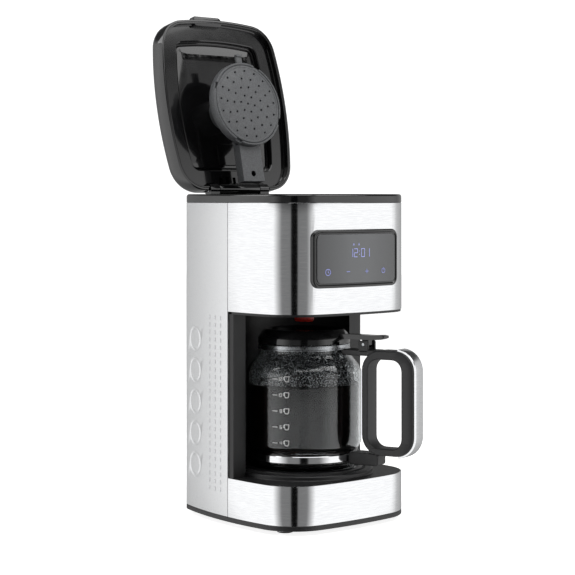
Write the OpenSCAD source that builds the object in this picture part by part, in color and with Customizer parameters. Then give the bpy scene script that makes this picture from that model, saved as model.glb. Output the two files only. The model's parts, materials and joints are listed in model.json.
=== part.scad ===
// Twelve-cup drip coffee maker with a glass jug, standing with its lid open and the jug in place.
// Origin: on the worktop, in the middle of the whole footprint. X to the right, Y to the rear, Z up.

/* [Body] */
// Width across the bowed sides
body_w = 193; // [170:1:260]
// Depth from the bowed front to the flat rear
body_d = 207; // [195:1:280]
// Height of the rim that the lid closes on
body_h = 359; // [345:1:440]
// Radius of the bowed front
front_bow = 470; // [380:5:900]
// Radius of each bowed side
side_bow = 415; // [380:5:900]
// Radius of the front corners
front_corner = 48; // [30:1:60]
// Radius of the rear corners
rear_corner = 18; // [12:1:30]
// Thickness of the steel and silver skins
skin_t = 1.2; // [0.8:0.1:2]
// Thickness of the moulded inner walls
wall_t = 2.2; // [1.6:0.1:3]
// Where the front steel wrap meets the rear skin, behind the middle
seam_y = 1; // [-10:1:20]
// Height of the black rim above the steel wrap
rim_h = 9.5; // [6:0.5:14]
// Set-back of the body's middle, which puts the origin in the middle of the whole footprint
mid_y = -3.5; // [-40:0.5:20]

/* [Base] */
// Height that the rubber feet hold the base above the worktop
foot_h = 5; // [3:0.5:10]
// Radius of a rubber foot
foot_r = 9; // [6:0.5:14]
// Height of the black flange under the lower steel band
flange_h = 5.5; // [4:0.5:10]
// Height of the lower steel band
band_h = 42; // [38:1:60]
// Thickness of the bottom cover
cover_t = 2.2; // [1.6:0.1:4]
// Radius of the cover screws' shanks
screw_r = 1.5; // [1:0.1:2.5]
// Radius of the bore in the cord gland
cord_bore_r = 3.5; // [2.5:0.1:4.5]

/* [Hot plate] */
// Radius of the hot plate
plate_r = 65; // [60:1:68]
// Thickness of the hot plate's sheet
plate_t = 1.6; // [1:0.1:3]
// Radius of the round dais that carries the plate
dais_r = 76; // [74:1:80]
// Height of the dais above the base deck
dais_h = 5.3; // [4:0.1:8]
// Height of the plate above the dais
plate_rise = 2; // [1:0.1:4]
// Radius of the heating tube's curve
heater_bend_r = 42; // [36:1:46]
// Outer radius of the heating tube
heater_r = 6.5; // [5:0.1:8]
// Bore radius of the heating tube and the hoses
water_bore_r = 4; // [3:0.1:4.5]
// Wall thickness of the silicone hoses
hose_wall = 1.8; // [1.2:0.1:2.5]

/* [Head] */
// Height of the underside of the upper steel band
head_z = 232; // [225:1:290]
// Thickness of the head floor
floor_t = 2.5; // [2:0.1:4]
// Depth of the top deck below the rim
deck_drop = 38; // [34:1:50]
// Outer radius of the brew chamber
chamber_r = 61; // [58:0.5:64]
// Place of the brew chamber and basket, behind the middle
chamber_y = -4; // [-10:1:4]
// Radius of the recess behind the jug
recess_r = 78; // [72:1:82]
// Place of the tower's front flanges, behind the middle
tower_y = -7; // [-12:1:0]

/* [Tank] */
// Gap between the water tank and the walls round it
tank_gap = 1.2; // [0.6:0.1:3]
// Wall thickness of the water tank
tank_t = 2; // [1.5:0.1:3]
// Front edge of the water tank, behind the middle
tank_y = 5; // [3:1:30]
// Place of the tank's outlet, behind the middle
outlet_y = 82; // [76:1:86]

/* [Control panel] */
// Width of the black bezel
bezel_w = 124; // [90:1:130]
// Height of the black bezel
bezel_h = 62; // [40:1:80]
// Radius of the bezel's corners
bezel_corner = 9; // [4:0.5:14]
// Height of the middle of the bezel above the head floor
bezel_up = 58.3; // [45:0.1:75]
// Width of the bezel's border
bezel_border = 5; // [3:0.5:9]
// How far the bezel stands out of the steel
bezel_proud = 3.4; // [1:0.1:5]
// Sideways place of the bezel
bezel_x = -3; // [-10:0.5:10]

/* [Lid] */
// Set-back of the lid's sides from the body's sides
lid_side_in = 6.5; // [6:0.5:12]
// Set-back of the lid's front from the body's front
lid_end_in = 1.5; // [1:0.1:3]
// Radius of the lid's bowed edges
lid_bow = 437; // [380:5:900]
// Radius of the lid's corners
lid_corner = 35; // [25:1:45]
// Thickness of the closed lid
lid_h = 24.3; // [22:0.1:32]
// Width of the lid's finger tab
tab_w = 41.6; // [30:0.1:50]
// Sideways place of the finger tab
tab_x = -13; // [-20:0.5:20]
// How far the finger tab stands out of the lid's front
tab_out = 3.4; // [2:0.1:3.6]
// Height of the finger tab
tab_h = 9.5; // [6:0.1:12]
// Width of the ledge round the lid's lining
ledge_w = 22; // [10:0.5:24]
// Wall thickness of the lid
lid_t = 2.4; // [1.8:0.1:3]
// Opening angle of the lid
lid_angle = 102.3; // [80:0.1:105]
// Place of the hinge pin, forward of the flat rear
hinge_in = 3.1; // [2:0.1:8]
// Height of the hinge pin above the rim
hinge_up = 5.5; // [5.3:0.1:8]
// Radius of the hinge pin
pin_r = 3; // [2:0.1:4]
// Radius of the hinge barrels
barrel_r = 6.5; // [5:0.1:8]
// Length of the lid's own hinge barrel
barrel_l = 60; // [40:1:80]
// Length of each hinge knuckle on the body
knuckle_l = 13; // [8:1:20]

/* [Spray head] */
// Radius of the perforated spray cover
spray_r = 46; // [36:0.5:47]
// Thickness of the perforated spray cover
spray_t = 3; // [2:0.1:4]
// Place of the spray head, behind the middle when the lid is closed
spray_y = 8.3; // [4:0.1:10]
// Drop of the spray face below the rim when the lid is closed
spray_drop = 35; // [30:0.5:36]
// Width of the spray arm
arm_w = 31; // [20:1:40]
// Depth of the spray arm
arm_t = 11; // [9:0.5:14]
// Radius of each spray hole
hole_r = 1.2; // [0.8:0.1:2]
// Turn of the spray cover's bayonet
bayonet_turn = 14; // [8:1:20]

/* [Basket] */
// Radius of the basket's wall at its rim
basket_r = 56.5; // [52:0.5:58]
// Radius of the basket's wall at its floor
basket_foot_r = 46; // [40:0.5:50]
// Height of the basket below its rim
basket_h = 72; // [60:1:90]
// Radius of the red drip-stop nozzle
nozzle_r = 11; // [8:0.5:13]
// Drop of the nozzle below the head floor
nozzle_drop = 11.5; // [8:0.5:14]

/* [Jug] */
// Greatest radius of the glass jug
jug_r = 63.4; // [55:0.1:64]
// Height of the glass jug from its bottom to its lip
jug_h = 134; // [120:1:150]
// Thickness of the glass
glass_t = 2.4; // [1.8:0.1:3.5]
// Radius of the jug's neck
neck_r = 50; // [44:0.5:54]
// Place of the jug, forward of the middle
jug_y = -15.6; // [-20:0.1:-10]
// Gap between the jug and the hot plate
jug_gap = 0.4; // [0.3:0.1:1]
// Height of the coffee above the jug's bottom
coffee_h = 90; // [30:1:105]
// Turn of the handle from straight ahead
handle_turn = 18; // [0:1:45]
// Reach of the handle from the jug's axis
handle_reach = 142.5; // [125:0.5:150]
// Radial thickness of the handle's grip
grip_t = 17; // [12:0.5:24]
// Width of the handle
handle_w = 23; // [16:0.5:30]
// Radial room for the fingers
finger_gap = 40; // [30:0.5:46]

/* [Hidden] */
$fn = 96;
// Clearance between pieces that only have to fit
fit = 0.2;
// How far a cutting shape runs past what it cuts
over = 1;
// Steps in each arc of an outline
arc_steps = 8;
// Middle of the bowed sides, forward of the middle of the body
side_mid_y = -24;

inner = skin_t + fit;
front_y = -body_d / 2;
rear_y = body_d / 2;
flange_top = foot_h + flange_h;
deck_z = flange_top + band_h;
band_top = body_h - rim_h;
floor_z = head_z - floor_t;
top_deck_z = body_h - deck_drop;
dais_top = deck_z + dais_h;
plate_top = dais_top + plate_rise;
jug_z = plate_top + jug_gap;
plate_hole_r = plate_r + 2.5;
heater_z = plate_top - plate_t - heater_r;
heater_end = [heater_bend_r * sin(45), jug_y + heater_bend_r * cos(45)];
hose_r = water_bore_r + hose_wall;
spigot_r = water_bore_r + 1.5;
socket_r = spigot_r + hose_wall;
hose_z = foot_h + cover_t + 22;
tank_z = deck_z + 8;
tank_top = top_deck_z - 3;
riser_y = rear_y - inner - wall_t - socket_r - 0.6;
lid_w = body_w - 2 * lid_side_in;
lid_d = body_d - 2 * lid_end_in;
hinge_y = rear_y - hinge_in;
hinge_z = body_h + hinge_up;
lid_z = body_h + 0.5;
lid_top = lid_z + lid_h;
lid_rear = hinge_y + 1.6;
lid_y = lid_rear - lid_d / 2;
spray_face = body_h - spray_drop;
spray_top = spray_face + 14;
arm_low = body_h - 27.5;
liner_z = lid_z + 14;
basket_rim = top_deck_z + 1.6;
basket_floor = basket_rim - basket_h;
nozzle_z = floor_z - nozzle_drop;
panel_z = head_z + bezel_up;
neck_z = jug_z + jug_h;
pin_rho = 79;
jug_pin_r = 1.5;
lid_pin_z = neck_z + 2;
grip_in = handle_reach - grip_t;
post_out = grip_in - finger_gap;
post_in = post_out - 7.5;

// --- outlines -------------------------------------------------------------------------------------

// Points along an arc
function arc(c, r, a0, a1) = [for (i = [0:arc_steps]) let (a = a0 + (a1 - a0) * i / arc_steps)
    [c[0] + r * cos(a), c[1] + r * sin(a)]];

// The crossing of two circles that lies to the right of the way from p to q
function circles_meet(p, rp, q, rq) = let (
    d = norm(q - p),
    a = (rp * rp - rq * rq + d * d) / (2 * d),
    h = sqrt(rp * rp - a * a),
    u = (q - p) / d) p + a * u + h * [-u[1], u[0]];

function angle_of(v) = atan2(v[1], v[0]);

// A bowed front and sides, round front corners and a flat rear, pulled in by e all round
function bowed(w, d, bow_f, bow_s, corner_f, corner_r, mid, e) = let (
    f = [0, -d / 2 + bow_f],
    s = [w / 2 - bow_s, mid],
    c = circles_meet(f, bow_f - corner_f, s, bow_s - corner_f),
    rise = asin((d / 2 - corner_r - mid) / (bow_s - corner_r)),
    r = s + (bow_s - corner_r) * [cos(rise), sin(rise)],
    half = concat(
        arc(f, bow_f - e, -90, angle_of(c - f)),
        arc(c, corner_f - e, angle_of(c - f), angle_of(c - s)),
        arc(s, bow_s - e, angle_of(c - s), rise),
        arc(r, max(corner_r - e, 0.5), rise, 90)),
    n = len(half)) concat(half, [for (i = [n - 1:-1:1]) [-half[i][0], half[i][1]]]);

function body_outline(e) = bowed(body_w, body_d, front_bow, side_bow, front_corner, rear_corner,
    side_mid_y, e);

function lid_outline(e) = bowed(lid_w, lid_d, lid_bow, lid_bow, lid_corner, lid_corner, 0, e);

function rounded_rect(w, h, r) = concat(
    arc([w / 2 - r, -h / 2 + r], r, -90, 0), arc([w / 2 - r, h / 2 - r], r, 0, 90),
    arc([-w / 2 + r, h / 2 - r], r, 90, 180), arc([-w / 2 + r, -h / 2 + r], r, 180, 270));

// X of the body's right side at a place along its depth
function side_x(y) = body_w / 2 - side_bow + sqrt(pow(side_bow, 2) - pow(y - side_mid_y, 2));

// --- shared shapes --------------------------------------------------------------------------------

module machine() translate([0, mid_y, 0]) children();

module body_slab(e, low, high) translate([0, 0, low]) linear_extrude(high - low)
    polygon(body_outline(e));

module body_ring(outer, inside, low, high) difference() {
    body_slab(outer, low, high);
    body_slab(inside, low - over, high + over);
}

module lid_slab(e, low, high) translate([0, lid_y, low]) linear_extrude(high - low)
    polygon(lid_outline(e));

// The round way that the cord gland takes through the rear walls
module gland_cut(r) along_y(-body_w / 4, flange_top + 18, r, rear_y - 20, rear_y + 20);

// Everything behind a place along the depth, for cutting
module behind(y) translate([-body_w, y, -over]) cube([2 * body_w, 2 * body_d, 2 * body_h]);

module ahead(y) translate([-body_w, y - 2 * body_d, -over]) cube([2 * body_w, 2 * body_d, 2 * body_h]);

module post(x, y, r, low, high) translate([x, y, low]) cylinder(r = r, h = high - low);

module along_y(x, z, r, from, to) translate([x, from, z]) rotate([-90, 0, 0]) cylinder(r = r, h = to - from);

module along_x(y, z, r, from, to) translate([from, y, z]) rotate([0, 90, 0]) cylinder(r = r, h = to - from);

module block(low, high) translate(low) cube(high - low);

// A flat rounded rectangle standing in the front, for the control panel
module panel(w, h, r) translate([bezel_x, rear_y - 60, panel_z]) rotate([90, 0, 0]) linear_extrude(body_d)
    polygon(rounded_rect(w, h, r));

// The opened lid's pieces are drawn closed and turned about the hinge pin
module opened() translate([0, hinge_y, hinge_z]) rotate([-lid_angle, 0, 0])
    translate([0, -hinge_y, -hinge_z]) children();

// The jug's pieces are drawn about its axis, with the handle straight ahead
module jug() translate([0, jug_y, 0]) rotate([0, 0, handle_turn]) children();

// --- base -----------------------------------------------------------------------------------------

screw_places = [for (x = [-1, 1]) for (y = [-70, 0, 86]) [x * (side_x(y) - inner - wall_t - 9), y]];
foot_places = [for (x = [-1, 1]) for (y = [-62, 78]) [x * (side_x(y) - 26), y]];

module base_tray() color("#1b1b1c") machine() difference() {
    union() {
        body_ring(0, inner + wall_t, foot_h, flange_top);
        body_ring(inner, inner + wall_t, flange_top - over, deck_z);
        body_slab(inner, deck_z - 2.6, deck_z);
        translate([0, jug_y, deck_z - over]) rotate_extrude()
            polygon([[plate_hole_r, 0], [dais_r, 0], [dais_r, dais_h - 0.8], [dais_r - 1.8, dais_h + over],
                [plate_hole_r, dais_h + over]]);
        for (p = screw_places) post(p[0], p[1], 4.5, foot_h + cover_t, deck_z - over);
    }
    post(0, jug_y, plate_hole_r, deck_z - 5, dais_top + 5);
    for (p = screw_places) post(p[0], p[1], screw_r, foot_h, foot_h + 24);
    post(heater_end[0], outlet_y, socket_r + 1, deck_z - 5, deck_z + 5);
    post(-heater_end[0], riser_y, socket_r + 1, deck_z - 5, deck_z + 5);
    gland_cut(6 + fit);
}

module bottom_cover() color("#1b1b1c") machine() difference() {
    body_slab(inner + wall_t + fit, foot_h, foot_h + cover_t);
    for (p = screw_places) post(p[0], p[1], screw_r + fit, foot_h - over, foot_h + cover_t + over);
    for (p = foot_places) post(p[0], p[1], foot_r / 2, foot_h - over, foot_h + cover_t + over);
    for (row = [-1, 1]) for (i = [-4:4]) block([row * 34 - 15, jug_y + i * 8 - 1.5, foot_h - over],
        [row * 34 + 15, jug_y + i * 8 + 1.5, foot_h + cover_t + over]);
}

module cover_screws() color("#b9bcc0") machine() for (p = screw_places) {
    post(p[0], p[1], screw_r * 2, foot_h - 1.6, foot_h);
    post(p[0], p[1], screw_r, foot_h - 0.5, foot_h + 16);
}

module feet() color("#2a2a2b") machine() for (p = foot_places) {
    translate([p[0], p[1], 0]) cylinder(r1 = foot_r - 0.8, r2 = foot_r, h = 1.5);
    post(p[0], p[1], foot_r, 1.4, foot_h);
    post(p[0], p[1], foot_r / 2, foot_h - 0.5, foot_h + cover_t);
}

module base_band() color("#d6d8da") machine() difference() {
    body_ring(0, skin_t, flange_top, deck_z);
    behind(seam_y);
}

// --- skins ----------------------------------------------------------------------------------------

dash_l = 5;
dash_w = 1.4;
dash_pitch = 8.1;
dash_count = 24;
dash_low = 38;
dimple_r = 14.5;
dimple_y = 70;
dimple_pitch = 34.8;
dimple_low = 59;
dimple_count = 5;

// Short upright dashes in three columns, pressed half through the skin
module dashes() for (side = [-1, 1]) for (y = [seam_y + 14, seam_y + 25, seam_y + 36])
    for (i = [0:dash_count - 1]) translate([side * side_x(y), y, dash_low + i * dash_pitch])
        cube([skin_t, dash_w, dash_l], center = true);

// A column of plain round dimples, pressed half through the skin
module dimples() for (side = [-1, 1]) for (i = [0:dimple_count - 1])
    translate([side * side_x(dimple_y), dimple_y, dimple_low + i * dimple_pitch])
        rotate([0, 90, side * asin((dimple_y - side_mid_y) / side_bow)])
            cylinder(r = dimple_r, h = skin_t, center = true, $fn = 48);

module rear_skin() color("#c9cbcd") machine() difference() {
    body_ring(0, skin_t, flange_top, band_top);
    ahead(seam_y + 0.8);
    dashes();
    dimples();
    gland_cut(6 + fit);
}

module head_band() color("#d6d8da") machine() difference() {
    body_ring(0, skin_t, head_z, band_top);
    behind(seam_y);
    panel(bezel_w - 4, bezel_h - 4, bezel_corner - 2);
}

// --- tower and head -------------------------------------------------------------------------------

module hinge_room() block([-barrel_l / 2 - knuckle_l - 2, rear_y - 13.5, body_h - 3.4],
    [barrel_l / 2 + knuckle_l + 2, rear_y + over, body_h + over]);

module top_rim() color("#161617") machine() difference() {
    union() {
        body_ring(0, 3.2, band_top, body_h - 2);
        body_ring(1.2, lid_side_in + 4, body_h - 3, body_h);
        body_ring(inner, inner + 2, top_deck_z - 3, band_top + over);
        body_slab(inner, top_deck_z - 3, top_deck_z);
    }
    hinge_room();
    post(0, chamber_y, basket_r + 1.2, top_deck_z - 6, top_deck_z + over);
    post(-heater_end[0], riser_y, spigot_r + fit, top_deck_z - 6, top_deck_z + over);
    tank_room(tank_gap + tank_t + 1, top_deck_z - 6, top_deck_z + over);
}

// The U-shaped room that the tank fills, pulled in by e all round
module tank_room(e, low, high) difference() {
    intersection() {
        body_slab(inner + wall_t + e, low, high);
        behind(tank_y + e);
    }
    post(0, jug_y, recess_r + wall_t + e, low - over, high + over);
    post(0, chamber_y, chamber_r + e, low - over, high + over);
    block([-heater_end[0] - socket_r - 2 - e, riser_y - socket_r - 1 - e, low - over],
        [-heater_end[0] + socket_r + 2 + e, rear_y, high + over]);
}

module tower_wall() color("#1a1a1b") machine() difference() {
    union() {
        post(0, jug_y, recess_r + wall_t, deck_z, floor_z);
        intersection() {
            body_slab(inner, deck_z, floor_z);
            block([-body_w, tower_y, 0], [body_w, tower_y + wall_t, body_h]);
        }
        difference() {
            body_ring(inner, inner + wall_t, deck_z, floor_z);
            behind(tower_y + 20);
        }
    }
    ahead(tower_y);
    post(0, jug_y, recess_r, deck_z - over, floor_z + over);
}

module head_floor() color("#161617") machine() difference() {
    union() {
        difference() {
            body_slab(0.8, floor_z, head_z);
            behind(tower_y + wall_t);
        }
        post(0, jug_y, recess_r + wall_t, floor_z, head_z);
        difference() {
            body_ring(inner, inner + wall_t, head_z - over, head_z + 20);
            behind(tower_y + wall_t);
        }
    }
    post(0, jug_y, nozzle_r + 6, floor_z - over, head_z + over);
}

module brew_chamber() color("#232324") machine() difference() {
    post(0, chamber_y, chamber_r, head_z, top_deck_z - 3);
    post(0, chamber_y, chamber_r - 1.8, head_z + 2, top_deck_z);
    post(0, jug_y, nozzle_r + 5, head_z - over, head_z + 3);
}

module water_tank() color("#3a3d40", 0.9) machine() difference() {
    union() {
        tank_room(tank_gap, tank_z, tank_top);
        post(heater_end[0], outlet_y, spigot_r, tank_z - 14, tank_z + over);
    }
    tank_room(tank_gap + tank_t, tank_z + tank_t, tank_top + over);
    post(heater_end[0], outlet_y, water_bore_r, tank_z - 15, tank_z + tank_t + over);
}

// --- heating and water ----------------------------------------------------------------------------

module hot_plate() color("#0f0f10") machine() translate([0, jug_y, 0]) rotate_extrude()
    polygon([[0, plate_top - plate_t], [plate_r - plate_t, plate_top - plate_t],
        [plate_r - plate_t, dais_top - 4],
        [plate_r, dais_top - 4], [plate_r, plate_top - 0.6], [plate_r - 0.6, plate_top], [0, plate_top]]);

module plate_seal() color("#101011") machine() translate([0, jug_y, 0]) rotate_extrude()
    polygon([[plate_r, dais_top - 4], [plate_hole_r, dais_top - 4], [plate_hole_r, dais_top],
        [plate_r, dais_top + 0.8]]);

// The bend is drawn solid; only its two upright ends show their bores
module heater_tube() color("#a9acaf") machine() difference() {
    union() {
        translate([0, jug_y, heater_z]) rotate([0, 0, 135]) rotate_extrude(angle = 270)
            translate([heater_bend_r, 0]) circle(r = heater_r);
        for (side = [-1, 1])
            post(side * heater_end[0], heater_end[1], spigot_r, hose_z + hose_r + 2, heater_z);
    }
    for (side = [-1, 1]) post(side * heater_end[0], heater_end[1], water_bore_r - 0.6, hose_z, heater_z);
}

module heater_clamp() color("#8f9296") machine() difference() {
    union() {
        block([-58, jug_y - 13, heater_z - heater_r - 2.5], [58, jug_y + 13, heater_z - heater_r]);
        for (side = [-1, 1]) block([side * 54 - 4, jug_y - 13, heater_z - heater_r - over],
            [side * 54 + 4, jug_y + 13, plate_top - plate_t]);
    }
    post(0, jug_y, 9 + fit, heater_z - heater_r - 5, plate_top);
}

module thermostat() color("#c8c2b4") machine() {
    post(0, jug_y, 9, heater_z - heater_r - 4, plate_top - plate_t);
    for (side = [-1, 1]) block([side * 5 - 0.4, jug_y - 3, heater_z - heater_r - 14],
        [side * 5 + 0.4, jug_y + 3, heater_z - heater_r - 4 + over]);
}

module thermal_fuses() color("#d9d6cf") machine() for (side = [-1, 1])
    along_y(side * 26, heater_z - heater_r - 2.5 - 2.6, 2.6, jug_y - 12, jug_y + 12);

// A hose that stands on a spigot and runs level along Y from its foot; seat is the spigot's length in it
module hose_solid(x, y, top, y_end, seat) difference() {
    union() {
        post(x, y, socket_r, hose_z, top);
        translate([x, y, hose_z]) sphere(r = socket_r);
        along_y(x, hose_z, hose_r, min(y, y_end), max(y, y_end));
    }
    post(x, y, water_bore_r, hose_z, top + over);
    post(x, y, spigot_r, top - seat, top + over);
    along_y(x, hose_z, water_bore_r, min(y, y_end - over), max(y, y_end + over));
    translate([x, y, hose_z]) sphere(r = water_bore_r);
}

valve_l = 22;
valve_y = (heater_end[1] + outlet_y) / 2;

module feed_hose() color("#e3e0d8") machine()
    hose_solid(heater_end[0], outlet_y, deck_z + 5, valve_y + valve_l / 2, deck_z + 5 - (tank_z - 14));

module inlet_hose() color("#e3e0d8") machine()
    hose_solid(heater_end[0], heater_end[1], hose_z + hose_r + 9, valve_y - valve_l / 2, 7);

module check_valve() color("#dcdcd6") machine() difference() {
    along_y(heater_end[0], hose_z, hose_r + 2, valve_y - valve_l / 2, valve_y + valve_l / 2);
    along_y(heater_end[0], hose_z, water_bore_r, valve_y - valve_l, valve_y + valve_l);
}

module riser_hose() color("#e3e0d8") machine() difference() {
    union() {
        post(-heater_end[0], heater_end[1], socket_r, hose_z, hose_z + hose_r + 9);
        translate([-heater_end[0], heater_end[1], hose_z]) sphere(r = socket_r);
        along_y(-heater_end[0], hose_z, hose_r, heater_end[1], riser_y);
        translate([-heater_end[0], riser_y, hose_z]) sphere(r = socket_r);
        post(-heater_end[0], riser_y, socket_r, hose_z, top_deck_z - 6);
    }
    post(-heater_end[0], heater_end[1], water_bore_r, hose_z, hose_z + hose_r + 10);
    post(-heater_end[0], heater_end[1], spigot_r, hose_z + hose_r + 2, hose_z + hose_r + 10);
    along_y(-heater_end[0], hose_z, water_bore_r, heater_end[1], riser_y);
    post(-heater_end[0], riser_y, water_bore_r, hose_z, top_deck_z);
    post(-heater_end[0], riser_y, spigot_r, top_deck_z - 20, top_deck_z);
}

clip_r = socket_r + 1.2;

module hose_clips() color("#b4b7ba") machine()
    for (p = [[heater_end[0], outlet_y, deck_z - 8], [heater_end[0], heater_end[1], hose_z + hose_r + 3.5],
            [-heater_end[0], heater_end[1], hose_z + hose_r + 3.5],
            [-heater_end[0], riser_y, top_deck_z - 14]])
        difference() {
            post(p[0], p[1], clip_r, p[2], p[2] + 4);
            post(p[0], p[1], socket_r, p[2] - over, p[2] + 5);
        }

spigot_y = riser_y - 3;

module water_spigot() color("#2c2c2e") machine() difference() {
    union() {
        post(-heater_end[0], riser_y, spigot_r, top_deck_z - 18, top_deck_z);
        block([-heater_end[0] - 9, riser_y - 9, top_deck_z], [8, riser_y + 2, top_deck_z + 6.5]);
        post(0, spigot_y, 5.5, top_deck_z + 5, arm_low - 1.2);
    }
    post(-heater_end[0], riser_y, 3, top_deck_z - 20, top_deck_z + 3.2);
    along_x(riser_y - 1.5, top_deck_z + 3.2, 2.4, -heater_end[0], 0);
    post(0, spigot_y, 3, top_deck_z + 3.2, arm_low + over);
}

board_x = body_w / 4 - 3;

module power_board() color("#24613a") machine() {
    block([board_x, 22, foot_h + cover_t + 8], [board_x + 29, 74, foot_h + cover_t + 9.6]);
    block([board_x + 3, 28, foot_h + cover_t + 9], [board_x + 19, 48, foot_h + cover_t + 24]);
    post(board_x + 20, 62, 5, foot_h + cover_t + 9, foot_h + cover_t + 22);
    for (x = [3, 26]) for (y = [25, 71]) post(board_x + x, y, 2.5, foot_h + cover_t, foot_h + cover_t + 9);
}

module cord_gland() color("#161617") machine() difference() {
    union() {
        along_y(-body_w / 4, flange_top + 18, 6, rear_y - 9, rear_y + 6);
        along_y(-body_w / 4, flange_top + 18, 9, rear_y - 9, rear_y - inner - wall_t);
        along_y(-body_w / 4, flange_top + 18, 8, rear_y, rear_y + 2.2);
    }
    gland_cut(cord_bore_r);
}

// --- control panel --------------------------------------------------------------------------------

module panel_layer(outer, inside) difference() {
    body_slab(outer, head_z, band_top);
    body_slab(inside, head_z - over, band_top + over);
    behind(0);
}

module control_bezel() color("#0c0c0d") machine() difference() {
    union() {
        intersection() {
            panel_layer(-bezel_proud, 0);
            panel(bezel_w, bezel_h, bezel_corner);
        }
        intersection() {
            panel_layer(0.5, inner + wall_t);
            panel(bezel_w - 8, bezel_h - 8, bezel_corner - 2.5);
        }
        intersection() {
            panel_layer(-0.5, 1);
            panel(bezel_w - 8, bezel_h - 8, bezel_corner - 2.5);
        }
    }
    panel(bezel_w - 2 * bezel_border, bezel_h - 2 * bezel_border, bezel_corner - 3);
}

module display_window() color("#55575a", 0.85) machine() intersection() {
    panel_layer(-bezel_proud + 0.3, -bezel_proud + 2.3);
    panel(bezel_w - 2 * bezel_border, bezel_h - 2 * bezel_border, bezel_corner - 3);
}

board_y = front_y + 13;

module control_board() color("#1d5a34") machine() difference() {
    block([bezel_x - bezel_w / 2 + 8, board_y, panel_z - bezel_h / 2 + 8],
        [bezel_x + bezel_w / 2 - 8, board_y + 1.6, panel_z + bezel_h / 2 - 8]);
    for (x = [-1, 1]) for (z = [-1, 1])
        along_y(bezel_x + x * (bezel_w / 2 - 12), panel_z + z * (bezel_h / 2 - 12), screw_r,
            board_y - over, board_y + 3);
}

module display_module() color("#e9e9ee") machine()
    block([bezel_x - 16, board_y - 6, panel_z - 2], [bezel_x + 24, board_y, panel_z + 14]);

// --- hinge ----------------------------------------------------------------------------------------

module hinge_bracket() color("#161617") machine() difference() {
    for (side = [-1, 1]) {
        x = side * (barrel_l / 2 + 0.6 + knuckle_l / 2);
        along_x(hinge_y, hinge_z, barrel_r, x - knuckle_l / 2, x + knuckle_l / 2);
        block([x - knuckle_l / 2, hinge_y - 6, top_deck_z],
            [x + knuckle_l / 2, rear_y - inner - 2 - fit, hinge_z]);
    }
    along_x(hinge_y, hinge_z, pin_r, -body_w, body_w);
}

module hinge_pin() color("#b9bcc0") machine()
    along_x(hinge_y, hinge_z, pin_r, -barrel_l / 2 - knuckle_l, barrel_l / 2 + knuckle_l);

// --- lid ------------------------------------------------------------------------------------------

lid_notch = [barrel_l / 2 + knuckle_l + 3, barrel_r + 1.2];

module lid_notch_cut() block([-lid_notch[0], hinge_y - lid_notch[1], lid_z - over],
    [lid_notch[0], lid_rear + over, hinge_z + barrel_r + 1.2]);

// Three steam slots through the lid, just ahead of the hinge
module steam_slots() for (x = [-21, -11, -1]) block([x - 2.2, hinge_y - barrel_r - 8, lid_z - over],
    [x + 2.2, hinge_y - barrel_r - 0.6, lid_top + over]);

module lid_shell() color("#141415") machine() opened() difference() {
    union() {
        lid_slab(0, lid_z, lid_top - 6);
        lid_slab(1.4, lid_top - 7, lid_top - 2.4);
        lid_slab(5, lid_top - 3, lid_top);
        block([tab_x - tab_w / 2, lid_rear - lid_d - tab_out, lid_z + 0.5],
            [tab_x + tab_w / 2, lid_rear - lid_d + 8, lid_z + tab_h]);
    }
    lid_slab(lid_t, lid_z - over, lid_top - 7);
    lid_slab(lid_t + 3, lid_top - 8, lid_top - lid_t);
    lid_notch_cut();
    steam_slots();
}

liner_e = lid_t + fit;
ledge_up = 6.5;
web_in = 16;
lid_screw_places = [for (x = [-1, 1]) for (y = [-1, 1])
    [x * (lid_w / 2 - liner_e - ledge_w - 13), lid_y + y * (lid_d / 2 - liner_e - ledge_w - 20)]];

module lid_liner() color("#0d0d0e") machine() opened() {
    difference() {
        union() {
            difference() {
                union() {
                    lid_slab(liner_e, lid_z, lid_z + ledge_up + 2);
                    lid_slab(liner_e + ledge_w - 2, lid_z + ledge_up, liner_z + 2);
                }
                lid_slab(liner_e + 2, lid_z - over, lid_z + ledge_up);
                lid_slab(liner_e + ledge_w, lid_z, liner_z);
            }
            for (p = lid_screw_places) post(p[0], p[1], 5, liner_z, lid_top - lid_t);
        }
        lid_notch_cut();
        steam_slots();
        for (p = lid_screw_places) post(p[0], p[1], screw_r, liner_z - over, lid_top - lid_t);
    }
    difference() {
        union() {
            along_x(hinge_y, hinge_z, barrel_r, -barrel_l / 2, barrel_l / 2);
            for (x = [[-barrel_l / 2, -24.5], [2.5, barrel_l / 2]])
                block([x[0], hinge_y - lid_notch[1] - web_in, lid_z + ledge_up + 1],
                    [x[1], hinge_y - 2, liner_z + 2]);
        }
        along_x(hinge_y, hinge_z, pin_r + 0.05, -barrel_l, barrel_l);
    }
}

module lid_screws() color("#b9bcc0") machine() opened() for (p = lid_screw_places) {
    post(p[0], p[1], screw_r, liner_z - 0.5, liner_z + 7.5);
    post(p[0], p[1], screw_r * 2, liner_z - 1.6, liner_z);
}

arm_end = lid_rear - 4;

module spray_arm() color("#4b4c4e") machine() opened() difference() {
    union() {
        block([-arm_w / 2, spray_y + 8, arm_low], [arm_w / 2, arm_end, arm_low + arm_t]);
        post(0, spray_y, 20, spray_top, liner_z);
    }
    block([-arm_w / 2 + 2, spray_y, arm_low + 2], [arm_w / 2 - 2, arm_end - 2.5, arm_low + arm_t - 2]);
    post(0, spigot_y, 3.4, arm_low - over, arm_low + 4);
    post(0, spray_y, 8, spray_top - over, arm_low + arm_t);
    post(0, spray_y, spray_r + 3 + fit, arm_low - 6, spray_top);
}

notch_turns = [20, 110, 200, 290];

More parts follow.
